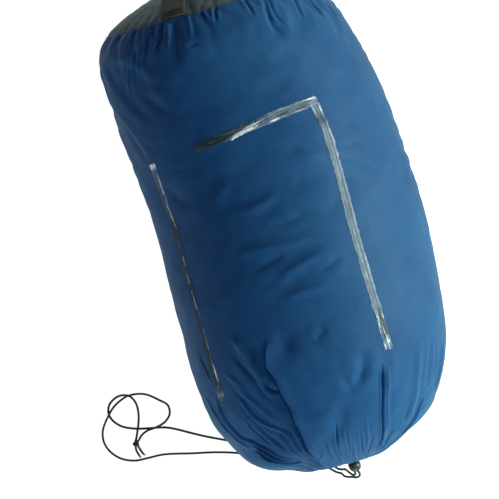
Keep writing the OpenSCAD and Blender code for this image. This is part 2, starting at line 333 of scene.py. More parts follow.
def nylon(name, dark, mid, light, rough=0.5, sheen=0.09, crinkle=1.0):
    m, nt, b = material(name, mid, rough=rough, spec=0.10, sheen=sheen, sheen_rough=0.45, sheen_tint=(0.25, 0.85, 1.0))
    vec = coords(nt)
    fab = coords(nt, "fab")
    big = noise_node(nt, vec, 0.012, 3, 0.55)
    fine = noise_node(nt, vec, 0.09, 4, 0.6)
    mixf = math_node(nt, "MULTIPLY_ADD", fine, 0.35, math_node(nt, "MULTIPLY", big, 0.65))
    col = ramp(nt, mixf, [(0.28, dark), (0.5, mid), (0.74, light)])
    # fine threads: slightly darker gaps
    w = thread_weave(nt, fab, 2.2)
    wa = math_node(nt, "ABSOLUTE", w)
    k = math_node(nt, "MULTIPLY_ADD", wa, 0.14, 0.93)
    mx = node(nt, "ShaderNodeMix", data_type="RGBA", blend_type="MULTIPLY")
    mx.inputs[0].default_value = 1.0
    nt.links.new(col, mx.inputs[6])
    comb = nt.nodes.new("ShaderNodeCombineColor")
    for i in range(3):
        nt.links.new(k, comb.inputs[i])
    nt.links.new(comb.outputs[0], mx.inputs[7])
    nt.links.new(mx.outputs[2], b.inputs["Base Color"])
    rr = math_node(nt, "MULTIPLY_ADD", fine, 0.22, rough - 0.11)
    nt.links.new(rr, b.inputs["Roughness"])
    cr1 = noise_node(nt, vec, 0.03, 2, 0.5, 0.3)
    cr2 = noise_node(nt, vec, 0.16, 2, 0.5, 0.2)
    bump(nt, b, [(cr1, 0.25 * crinkle, 0.004), (cr2, 0.16 * crinkle, 0.0007), (w, 0.25, 0.00012)])
    return m


M_BLUE = nylon("blue_nylon_m", (0.012, 0.058, 0.196), (0.016, 0.077, 0.237), (0.022, 0.100, 0.276))
M_HEM = nylon("blue_hem_m", (0.017, 0.056, 0.145), (0.022, 0.074, 0.185), (0.030, 0.094, 0.225), rough=0.48, crinkle=0.7)
M_GREY = nylon("grey_nylon_m", (0.068, 0.086, 0.094), (0.087, 0.109, 0.119), (0.113, 0.136, 0.146), rough=0.5, sheen=0.1)
M_BIVY = nylon("bivy_upper_m", (0.10, 0.13, 0.11), (0.13, 0.17, 0.145), (0.16, 0.2, 0.175), rough=0.55)
M_FLOOR = nylon("bivy_floor_m", (0.028, 0.04, 0.034), (0.036, 0.05, 0.043), (0.05, 0.066, 0.058), rough=0.4)


def cordage(name, dark, light):
    m, nt, b = material(name, dark, rough=0.72, spec=0.35, sheen=0.35, sheen_rough=0.5)
    vec = coords(nt, "fab")
    sep = nt.nodes.new("ShaderNodeSeparateXYZ")
    nt.links.new(vec, sep.inputs[0])
    a = math_node(nt, "MULTIPLY", sep.outputs[0], 4 / 1.25)
    s = math_node(nt, "MULTIPLY", sep.outputs[1], 2 * math.pi / 1.7)
    h1 = math_node(nt, "SINE", math_node(nt, "ADD", s, a))
    h2 = math_node(nt, "SINE", math_node(nt, "SUBTRACT", s, a))
    h = math_node(nt, "MULTIPLY", h1, h2)
    fib = noise_node(nt, coords(nt), 1.4, 3, 0.6)
    f = math_node(nt, "MULTIPLY_ADD", h, 0.28, math_node(nt, "MULTIPLY", fib, 0.9))
    nt.links.new(ramp(nt, f, [(0.25, dark), (0.75, light)]), b.inputs["Base Color"])
    bump(nt, b, [(h, 0.8, 0.00035), (fib, 0.4, 0.00015)])
    return m


M_CORD = cordage("drawcord_m", (0.017, 0.018, 0.013), (0.062, 0.062, 0.048))


def webbing(name):
    m, nt, b = material(name, (0.03, 0.032, 0.025), rough=0.66, spec=0.4, sheen=0.3, sheen_rough=0.45)
    vec = coords(nt, "fab")
    sep = nt.nodes.new("ShaderNodeSeparateXYZ")
    nt.links.new(vec, sep.inputs[0])
    x = math_node(nt, "MULTIPLY", sep.outputs[0], math.pi / 0.85)
    y = math_node(nt, "MULTIPLY", sep.outputs[1], math.pi / 1.15)
    sx = math_node(nt, "SINE", x)
    sh = math_node(nt, "MULTIPLY_ADD", sx, 0.9, y)
    h = math_node(nt, "ABSOLUTE", math_node(nt, "SINE", sh))
    rib = math_node(nt, "ABSOLUTE", sx)
    fib = noise_node(nt, coords(nt), 0.9, 3, 0.6)
    f = math_node(nt, "MULTIPLY_ADD", h, 0.35, math_node(nt, "MULTIPLY", fib, 0.8))
    nt.links.new(ramp(nt, f, [(0.2, (0.017, 0.018, 0.013)), (0.55, (0.030, 0.031, 0.024)), (0.9, (0.052, 0.053, 0.043))]), b.inputs["Base Color"])
    bump(nt, b, [(rib, 0.7, 0.0004), (h, 0.7, 0.0003), (fib, 0.25, 0.0002)])
    return m


M_WEB = webbing("webbing_m")


def simple(name, base, rough, spec=0.5, metal=0.0, grain=0.2, gscale=0.6, var=0.15, sheen=0.0, coat=0.0):
    m, nt, b = material(name, base, rough=rough, spec=spec, metal=metal, sheen=sheen, coat=coat)
    vec = coords(nt)
    n1 = noise_node(nt, vec, gscale, 4, 0.6)
    n2 = noise_node(nt, vec, gscale * 0.12, 3, 0.5)
    f = math_node(nt, "MULTIPLY_ADD", n1, 0.4, math_node(nt, "MULTIPLY", n2, 0.6))
    nt.links.new(ramp(nt, f, [(0.3, tuple(c * (1 - var) for c in base)), (0.7, tuple(min(1, c * (1 + var)) for c in base))]), b.inputs["Base Color"])
    nt.links.new(math_node(nt, "MULTIPLY_ADD", n2, 0.2, rough - 0.1), b.inputs["Roughness"])
    bump(nt, b, [(n1, grain, 0.00025)])
    return m


M_LOCK = simple("lock_plastic_m", (0.034, 0.041, 0.040), 0.36, grain=0.15, gscale=1.6, var=0.2)
M_BUTTON = simple("button_plastic_m", (0.021, 0.026, 0.026), 0.33, grain=0.12, gscale=1.6, var=0.2)
M_SPRING = simple("spring_wire_m", (0.62, 0.62, 0.63), 0.28, metal=1.0, grain=0.1, gscale=3.0, var=0.08)
M_THREAD = simple("thread_m", (0.022, 0.034, 0.062), 0.6, grain=0.5, gscale=3.0, var=0.3, sheen=0.3)
M_THREADBLK = simple("thread_black_m", (0.014, 0.015, 0.012), 0.6, grain=0.5, gscale=3.0, var=0.3, sheen=0.3)
M_BIND = webbing("binding_tape_m")


def residue():
    """Dried adhesive: white where it is thick, silver grey over most of it, dull olive where rubbed thin. Its palest
    white is also a painted glint, and its darkest tones on the left strip are also painted shade.
    """
    m, nt, b = material("adhesive_residue_glint_shade_m", (0.2, 0.26, 0.3), rough=0.5, spec=0.15)
    fab = coords(nt, "fab")
    mp = nt.nodes.new("ShaderNodeMapping")
    mp.inputs["Scale"].default_value = (1.3, 0.16, 1)
    nt.links.new(fab, mp.inputs["Vector"])
    s1 = noise_node(nt, mp.outputs[0], 0.9, 5, 0.65)
    s2 = noise_node(nt, fab, 1.6, 3, 0.6)
    tone = node(nt, "ShaderNodeAttribute", attribute_name="tone").outputs["Fac"]
    f = math_node(nt, "MULTIPLY_ADD", s1, 0.65, tone)
    f = math_node(nt, "MULTIPLY_ADD", s2, 0.3, f)
    f = math_node(nt, "SUBTRACT", f, 0.48)
    # The palest stop is whitish adhesive and also a painted glint; the darkest stops carry the left strip's painted
    # shade as well as thin residue.
    nt.links.new(ramp(nt, f, [(0.02, (0.022, 0.040, 0.062)), (0.22, (0.042, 0.063, 0.095)), (0.42, (0.100, 0.136, 0.205)), (0.60, (0.185, 0.226, 0.36)), (0.78, (0.40, 0.43, 0.64)), (0.92, (0.95, 0.92, 1.0))]), b.inputs["Base Color"])
    bump(nt, b, [(s1, 0.5, 0.0004), (s2, 0.3, 0.0002)])
    return m


M_RES = residue()

# ------------------------------------------------------------------ the drawcord: routes repeated from the CAD, in millimetres
LEAD_A = [(-1.6, -263.8, 129.5), (-1.4, -266, 129), (-3, -267, 126.5), (-5.2, -265.9, 121.5), (-7.8, -263.2, 114), (-9.8, -261.4, 106), (-12.4, -262, 96),
          (-16, -261.6, 84), (-19.6, -258.8, 73), (-24, -255.2, 60), (-28.5, -252.6, 48), (-32.5, -250, 35), (-37, -247.5, 22), (-43, -245, 11),
          (-50, -242.5, 4.5), (-58, -240, 1.7), (-68, -237, 1.3)]
LEAD_B = [(1.6, -263.8, 129.5), (2.6, -266.2, 129.3), (2.2, -268.9, 128), (-0.8, -270.2, 125), (-4.6, -269.5, 119.5), (-8.6, -268.9, 112.5),
          (-11.9, -268.3, 105), (-13.6, -265.9, 98.5), (-15.6, -265.2, 91), (-18.6, -264.6, 81), (-22.4, -262, 70), (-26.2, -258.8, 60), (-30, -256.8, 49),
          (-34, -254.6, 36), (-38.5, -252.5, 23), (-44, -250.8, 11.5), (-50, -249.5, 4.5), (-57, -248.3, 1.7), (-66, -247, 1.3)]
NECK_A = [(-2.6, -246.6, 130), (-1.9, -248, 129.8), (-1.6, -250, 129.5), (-1.6, -253.5, 129.5), (-1.6, -258.5, 129.5), (-1.6, -263.8, 129.5)]
NECK_B = [(4.2, -246.6, 128.5), (2.6, -248, 129.1), (1.6, -250, 129.5), (1.6, -253.5, 129.5), (1.6, -258.5, 129.5), (1.6, -263.8, 129.5)]
FLOOR_A = [(-68, -237, 1.3), (-84, -228.5, 1.3), (-100, -220, 1.3), (-117, -211, 1.3), (-140, -199.5, 1.3), (-155, -191, 1.3), (-168, -183.5, 1.3), (-178, -179, 1.3),
           (-193, -175.5, 1.3), (-207, -172, 1.3), (-221, -165.5, 1.3), (-229, -156, 1.3), (-230.5, -148, 1.3), (-227.5, -140.5, 1.5), (-220.5, -135.5, 2.6),
           (-212.5, -134, 4), (-204.5, -137, 4), (-200, -146, 2.6), (-200.5, -158, 2.8), (-203.5, -168, 4), (-207, -176, 4), (-209.7, -181.8, 4.2)]
FLOOR_B = [(-66, -247, 1.3), (-80, -241, 1.3), (-95, -234, 1.3), (-109, -227, 1.3), (-133, -219, 1.3), (-156, -213.5, 1.3), (-187, -206, 1.3), (-204, -205, 1.3),
           (-217, -204, 1.3), (-230, -198.5, 1.3), (-239.5, -188.5, 1.3), (-243.5, -177, 1.5), (-241.5, -165, 2.8), (-234, -154, 4), (-224, -144, 4),
           (-216, -139.5, 2.2), (-205, -136.5, 1.3), (-189, -139.5, 1.3), (-176, -149.5, 1.3), (-168.5, -157.5, 1.3), (-169, -166.5, 1.5), (-175.5, -173, 2.8),
           (-185, -176, 4), (-197, -177.2, 4), (-203.8, -180.4, 4), (-207.6, -184.2, 4.2)]
KNOT = np.array([-211.4, -186.5, 4.0])
TAIL_A = [(-212.6, -189.6, 3.2), (-213.2, -193.5, 1.7), (-212.4, -198, 1.3), (-210.6, -203, 1.3)]
TAIL_B = [(-210.2, -189.4, 3.4), (-209.4, -193, 1.7), (-208, -197.5, 1.3), (-205.8, -202, 1.3)]
CR = 1.2  # cord radius


def cord_piece(name, route, node_names, sides=12):
    P = catmull(route, 0.55)
    P[:, 2] = np.maximum(P[:, 2], CR + 0.08)
    V, F, co = tube(P, CR, sides, True, braid=0.07)
    V[:, 2] = np.maximum(V[:, 2], 0.03)
    ob = new_mesh(name, V, F, M_CORD, attrs={"fab": co})
    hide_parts(*node_names)
    return ob, P


# the knot: an overhand knot of both strands side by side, drawn tight into a ball
def knot_parts():
    parts, cos = [], []
    t = np.linspace(0, 1, 90)
    for k, (off, ph) in enumerate(((0.0, 0.0), (0.55, 0.5))):
        a = 2 * math.pi * t * 1.62 + 0.6 + ph
        # a trefoil pulled tight: radius small, so that the turns lie against each other
        x = (np.sin(a) + 2 * np.sin(2 * a)) * 0.92
        y = (np.cos(a) - 2 * np.cos(2 * a)) * 0.92
        z = -np.sin(3 * a) * 1.15 + (0.5 - k) * 0.9
        P = np.stack([x * 0.98, y * 0.98 - 0.3, z], 1)
        c, s = math.cos(0.5), math.sin(0.5)
        P = np.stack([P[:, 0] * c - P[:, 1] * s, P[:, 0] * s + P[:, 1] * c, P[:, 2]], 1) + KNOT + (0, 0, 0.0)
        P = catmull(P[::3], 0.4)
        P[:, 2] = np.clip(P[:, 2], 1.25, 6.7)
        V, F, co = tube(P, 1.12, 12, True, braid=0.06)
        V[:, 2] = np.maximum(V[:, 2], 0.05)
        parts.append((V, F))
        cos.append(co)
    return joined(parts), np.vstack(cos)


(kv, kf), kco = knot_parts()
knot = new_mesh("knot_overhand", kv, kf, M_CORD, attrs={"fab": kco})
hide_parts("drawcord_knot")
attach(knot, "root")


def tail_parts():
    parts, cos = [], []
    rng = np.random.RandomState(7)
    for route in (TAIL_A, TAIL_B):
        start = KNOT + (np.array(route[0]) - KNOT) * 0.35
        P = catmull([start] + list(route[:-1]) + [tuple(np.array(route[-2]) * 0.35 + np.array(route[-1]) * 0.65)], 0.5)
        P[:, 2] = np.maximum(P[:, 2], CR + 0.08)
        r = np.full(len(P), CR)
        r[-5:] = CR * np.array([1.0, 0.98, 0.92, 0.82, 0.66])
        V, F, co = tube(P, r, 12, True, braid=0.07)
        V[:, 2] = np.maximum(V[:, 2], 0.03)
        parts.append((V, F)); cos.append(co)
        # frayed yarns past the cut end
        d = P[-1] - P[-6]
        d /= np.linalg.norm(d)
        for _ in range(22):
            a = rng.uniform(0, 2 * math.pi)
            rad = rng.uniform(0.1, 0.8)
            side = np.array([-d[1], d[0], 0]) * math.cos(a) + np.array([0, 0, 1]) * math.sin(a)
            b0 = P[-3] + side * rad * 0.8
            ln = rng.uniform(1.2, 3.4)
            b1 = b0 + d * ln * 0.5 + side * rad * 0.6
            b2 = b0 + d * ln + side * rad * rng.uniform(0.8, 2.2) + np.array([0, 0, -0.3])
            Q = catmull([b0, b1, b2], 0.5)
            Q[:, 2] = np.clip(Q[:, 2], 0.18, 3.2)
            V, F, co = tube(Q, np.linspace(0.15, 0.08, len(Q)), 5, True)
            parts.append((V, F)); cos.append(co)
    return joined(parts), np.vstack(cos)


(tv, tf), tco = tail_parts()
tails = new_mesh("cord_tails_frayed", tv, tf, M_CORD, attrs={"fab": tco})
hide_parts("drawcord_tails")
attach(tails, "root")

KA = [tuple(KNOT + (-0.4, 1.6, 0.6))]
KB = [tuple(KNOT + (1.4, 0.9, 0.5))]
strand_a, path_a = cord_piece("cord_strand_a", LEAD_A + FLOOR_A[1:] + KA, ("drawcord_lead_a", "drawcord_strand_a"))
strand_b, path_b = cord_piece("cord_strand_b", LEAD_B + FLOOR_B[1:] + KB, ("drawcord_lead_b", "drawcord_strand_b"))
for ob in (strand_a, strand_b):
    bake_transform(ob)

# the two short stretches inside the hem's buttonhole and through the lock
parts, cos = [], []
for route in (NECK_A, NECK_B):
    P = catmull(route, 0.3)
    V, F, co = tube(P, CR, 12, True, braid=0.06)
    parts.append((V, F)); cos.append(co)
nv_, nf_ = joined(parts)
neck = new_mesh("cord_neck", nv_, nf_, M_CORD, attrs={"fab": np.vstack(cos)})
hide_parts("drawcord_neck")
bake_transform(neck)

# the cord inside the hem
MC = np.array([-3.0, -246.6, 113.0])
a = np.radians(np.linspace(91, 91 + 331, 220))
P = np.stack([MC[0] + 17 * np.cos(a), np.full_like(a, MC[1]), MC[2] + 17 * np.sin(a)], 1)
V, F, co = tube(P, CR, 12, True, braid=0.06)
loop = new_mesh("cord_loop_in_hem", V, F, M_CORD, attrs={"fab": co})
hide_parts("drawcord_loop")
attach(loop, "root")

# ------------------------------------------------------------------ the sack's surface, the same stations as the CAD
TILT = math.tan(math.radians(6.6))
ST = np.array([
    [-245.4, -3, 21.6, 21.6, 113, 0], [-249.4, -3.5, 28, 27, 112.5, 0], [-252, -5, 38, 36, 112, 0], [-249, -7.5, 52, 49, 111, 0],
    [-240, -10, 72, 67, 110, 0], [-224, -7, 95, 87, 108, 0], [-200, -3.5, 112, 103, 106, 0], [-170, -2, 124.5, 112, 105, 0],
    [-130, 0.5, 130.5, 118, 105, 0], [-80, 3, 132, 120, 105, 0], [-20, 5.5, 131, 120, 105, 0], [40, 4.5, 129.5, 119, 105, 0],
    [90, 0, 130, 118, 106, 0], [140, -7, 129, 115, 107, 0.03], [180, -12.5, 123.5, 111, 108, 0.08], [205, -16.5, 113.5, 106, 108, 0.105],
    [219, -19, 101, 101, 108, TILT]], float)
NS = len(ST) - 1


def station(u):
    u = np.asarray(u, float)
    i = np.clip(np.floor(u).astype(int), 0, NS - 1)
    t = (u - i)[..., None]
    p0, p1, p2, p3 = ST[np.maximum(0, i - 1)], ST[i], ST[i + 1], ST[np.minimum(NS, i + 2)]
    return 0.5 * (2 * p1 + (p2 - p0) * t + (2 * p0 - 5 * p1 + 4 * p2 - p3) * t ** 2 + (3 * p1 - p0 - 3 * p2 + p3) * t ** 3)


def base_surface(u, th):
    """Smooth sack. u and th are arrays of one shape, th in radians."""
    s = station(u)
    zr = s[..., 4] + s[..., 3] * np.sin(th)
    z = 0.5 * (zr + np.sqrt(zr ** 2 + 6.0 ** 2))
    z = np.where(zr > 25, zr, z)
    return np.stack([s[..., 1] + s[..., 2] * np.cos(th), s[..., 0] - s[..., 5] * (z - s[..., 4]), z], -1)


NU, NT = ((480, 840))
# rows spaced evenly along the fabric, a little closer at the two ends
uu = np.linspace(0, NS, 4001)
S0 = base_surface(uu, np.zeros_like(uu)) * 0.5 + base_surface(uu, np.full_like(uu, math.pi / 2)) * 0.5
arc = np.concatenate([[0], np.cumsum(np.linalg.norm(np.diff(S0, axis=0), axis=1))])
ARC = arc[-1]
q = np.linspace(0, 1, NU)
q = q + 0.035 * np.sin(2 * math.pi * q) * -1
U = np.interp(q * ARC, arc, uu)
SROW = q * ARC
TH = np.arange(NT) * 2 * math.pi / NT
UG, TG = np.meshgrid(U, TH, indexing="ij")
SG = np.repeat(SROW[:, None], NT, 1)
EG = ARC - SG
B0 = base_surface(UG, TG)


def normals(B):
    dth = np.roll(B, -1, 1) - np.roll(B, 1, 1)
    du = np.gradient(B, axis=0)
    N = np.cross(dth, du)
    N /= np.maximum(np.linalg.norm(N, axis=-1, keepdims=True), 1e-9)
    c = B.mean(1, keepdims=True)
    if ((B - c) * N).sum() < 0:
        N = -N
    return N


N0 = normals(B0)


# ------------------------------------------------------------------ cloth simulation: slack fabric blown out between its sewn ends
def simulate(P, pinned, frames, pressure, slack):
    """Blender's Cloth on a closed grid of points in millimetres. Gives the points where they have come to; nothing of it stays in the scene."""
    n, m = P.shape[:2]
    me = bpy.data.meshes.new("cloth_pass")
    me.from_pydata((P.reshape(-1, 3) * MM).tolist(), [], grid_faces(n, m, True, flip=True).tolist())
    me.update()
    ob = bpy.data.objects.new("cloth_pass", me)
    scene.collection.objects.link(ob)
    ob.vertex_groups.new(name="pin").add(np.flatnonzero(pinned.ravel()).tolist(), 1.0, "REPLACE")
    mod = ob.modifiers.new("cloth", "CLOTH")
    c = mod.settings
    c.quality = 5
    c.mass = 0.3
    c.tension_stiffness = c.compression_stiffness = 15
    c.shear_stiffness = 5
    c.bending_stiffness = 0.5
    c.air_damping = 2
    c.use_pressure = True
    c.uniform_pressure_force = pressure
    c.shrink_min = c.shrink_max = -slack
    c.effector_weights.gravity = 0
    c.vertex_group_mass = "pin"
    mod.collision_settings.use_collision = False
    mod.point_cache.frame_start, mod.point_cache.frame_end = 1, frames
    now = scene.frame_current
    for f in range(1, frames + 1):
        scene.frame_set(f)
    ev = ob.evaluated_get(bpy.context.evaluated_depsgraph_get())
    out = ev.to_mesh()
    co = np.empty(len(out.vertices) * 3, np.float32)
    out.vertices.foreach_get("co", co)
    ev.to_mesh_clear()
    bpy.data.objects.remove(ob)
    bpy.data.meshes.remove(me)
    scene.frame_set(now)
    return co.reshape(n, m, 3).astype(float) / MM


def smoothed(G, si, sj):
    """Gaussian blur of a grid that wraps along its second axis; si and sj are in cells."""
    n, m = G.shape
    E = np.concatenate([G[::-1], G, G[::-1]], 0)
    fi, fj = np.fft.fftfreq(3 * n)[:, None], np.fft.fftfreq(m)[None, :]
    K = np.exp(-2 * (math.pi * fi * si) ** 2 - 2 * (math.pi * fj * sj) ** 2)
    return np.fft.ifft2(np.fft.fft2(E) * K).real[n:2 * n]


def spline_up(G, fi, fj):
    """Cubic B-spline values of grid G at rows fi and columns fj, which wrap."""
    def wts(f):
        i = np.floor(f).astype(int)
        t = f - i
        return i, np.stack([(1 - t) ** 3, 3 * t ** 3 - 6 * t ** 2 + 4, -3 * t ** 3 + 3 * t ** 2 + 3 * t + 1, t ** 3]) / 6
    i, wi = wts(fi)
    R = sum(wi[k][:, None] * G[np.clip(i + k - 1, 0, len(G) - 1)] for k in range(4))
    j, wj = wts(fj)
    return sum(wj[k][None, :] * R[:, (j + k - 1) % G.shape[1]] for k in range(4))


def slack_wrinkles():
    """What the simulation adds to the smooth sack, along its normals: only the wrinkles, since the sack's size is fixed."""
    n, m = 120, 220
    qs = np.linspace(0, 1, n)
    ug, tg = np.meshgrid(np.interp(qs * ARC, arc, uu), np.arange(m) * 2 * math.pi / m, indexing="ij")
    P = base_surface(ug, tg)
    N = normals(P)
    sg, tw = np.repeat((qs * ARC)[:, None], m, 1), tg / (2 * math.pi)
    start = P + N * (0.40 * noise(tw * 26, sg / 22.0, 5, 26) + 0.28 * noise(tw * 52, sg / 11.0, 6, 52))[..., None]
    end = simulate(start, (sg < 12) | (ARC - sg < 6) | (P[..., 2] < 4), 16, 4.0, 0.045)
    d = ((end - P) * N).sum(-1)
    d = np.clip(d, -12, 12)
    d = d - smoothed(d, 5, 8)
    d = smoothed(d, 0.6, 0.6)
    d = 1.9 * np.tanh(d * 1.4 / 1.9)
    d *= sstep(22, 60, sg) * sstep(14, 34, ARC - sg) * sstep(6, 40, P[..., 2])
    return spline_up(d, SROW / ARC * (n - 1), np.arange(NT) / NT * m)


def cusp(x, soft=0.12):
    """Rounded crests between narrow creases, 0 to 1, one a unit."""
    return (np.sqrt(np.sin(math.pi * x) ** 2 + soft ** 2) - soft) / (math.sqrt(1 + soft ** 2) - soft)


def path_distance(pts, reach=45.0):
    """Signed distance in the fabric from a line drawn on top of the sack, and the place along it from 0 to 1.
    pts are x, y in millimetres as seen from above. The sign is plus on the line's right, looking at the mouth from the top."""
    up = (B0[..., 2] > station(U)[:, None, 4]).ravel()
    idx = np.flatnonzero(up)
    gx, gy = B0[..., 0].ravel()[idx], B0[..., 1].ravel()[idx]
    st_ = []
    for x, y in pts:
        k = idx[np.argmin((gx - x) ** 2 + (gy - y) ** 2)]
        st_.append((SG.ravel()[k], TG.ravel()[k]))
    R = (station(U)[:, 2] + station(U)[:, 3])[:, None] / 2
    c = catmull([(s, t * 100, 0) for s, t in st_], 5.0)[:, :2]
    c = np.stack([c[:, 0], c[:, 1] / 100], 1)
    i0, i1 = np.searchsorted(SROW, c[:, 0].min() - reach), np.searchsorted(SROW, c[:, 0].max() + reach)
    rmin = max(20.0, float(R[i0:max(i1, i0 + 1)].min()))
    j0, j1 = int((c[:, 1].min() - reach / rmin) / (2 * math.pi) * NT), int((c[:, 1].max() + reach / rmin) / (2 * math.pi) * NT) + 1
    cols = np.arange(j0, j1) % NT
    s, th = SG[i0:i1][:, cols], np.broadcast_to(np.arange(j0, j1) * 2 * math.pi / NT, (i1 - i0, j1 - j0))
    r = R[i0:i1]
    best = np.full(s.shape, 1e9)
    side = np.zeros(s.shape)
    tpar = np.zeros(s.shape)
    for k in range(len(c) - 1):
        ps, pt = c[k, 0], c[k, 1] * r
        ds, dt = c[k + 1, 0] - c[k, 0], (c[k + 1, 1] - c[k, 1]) * r
        t = np.clip(((s - ps) * ds + (th * r - pt) * dt) / (ds ** 2 + dt ** 2 + 1e-9), 0, 1)
        es, et = s - ps - t * ds, th * r - pt - t * dt
        dist = np.hypot(es, et)
        m = dist < best
        best = np.where(m, dist, best)
        side = np.where(m, np.sign(es * dt - et * ds), side)
        tpar = np.where(m, (k + t) / (len(c) - 1), tpar)
    return slice(i0, i1), cols, best * side, tpar


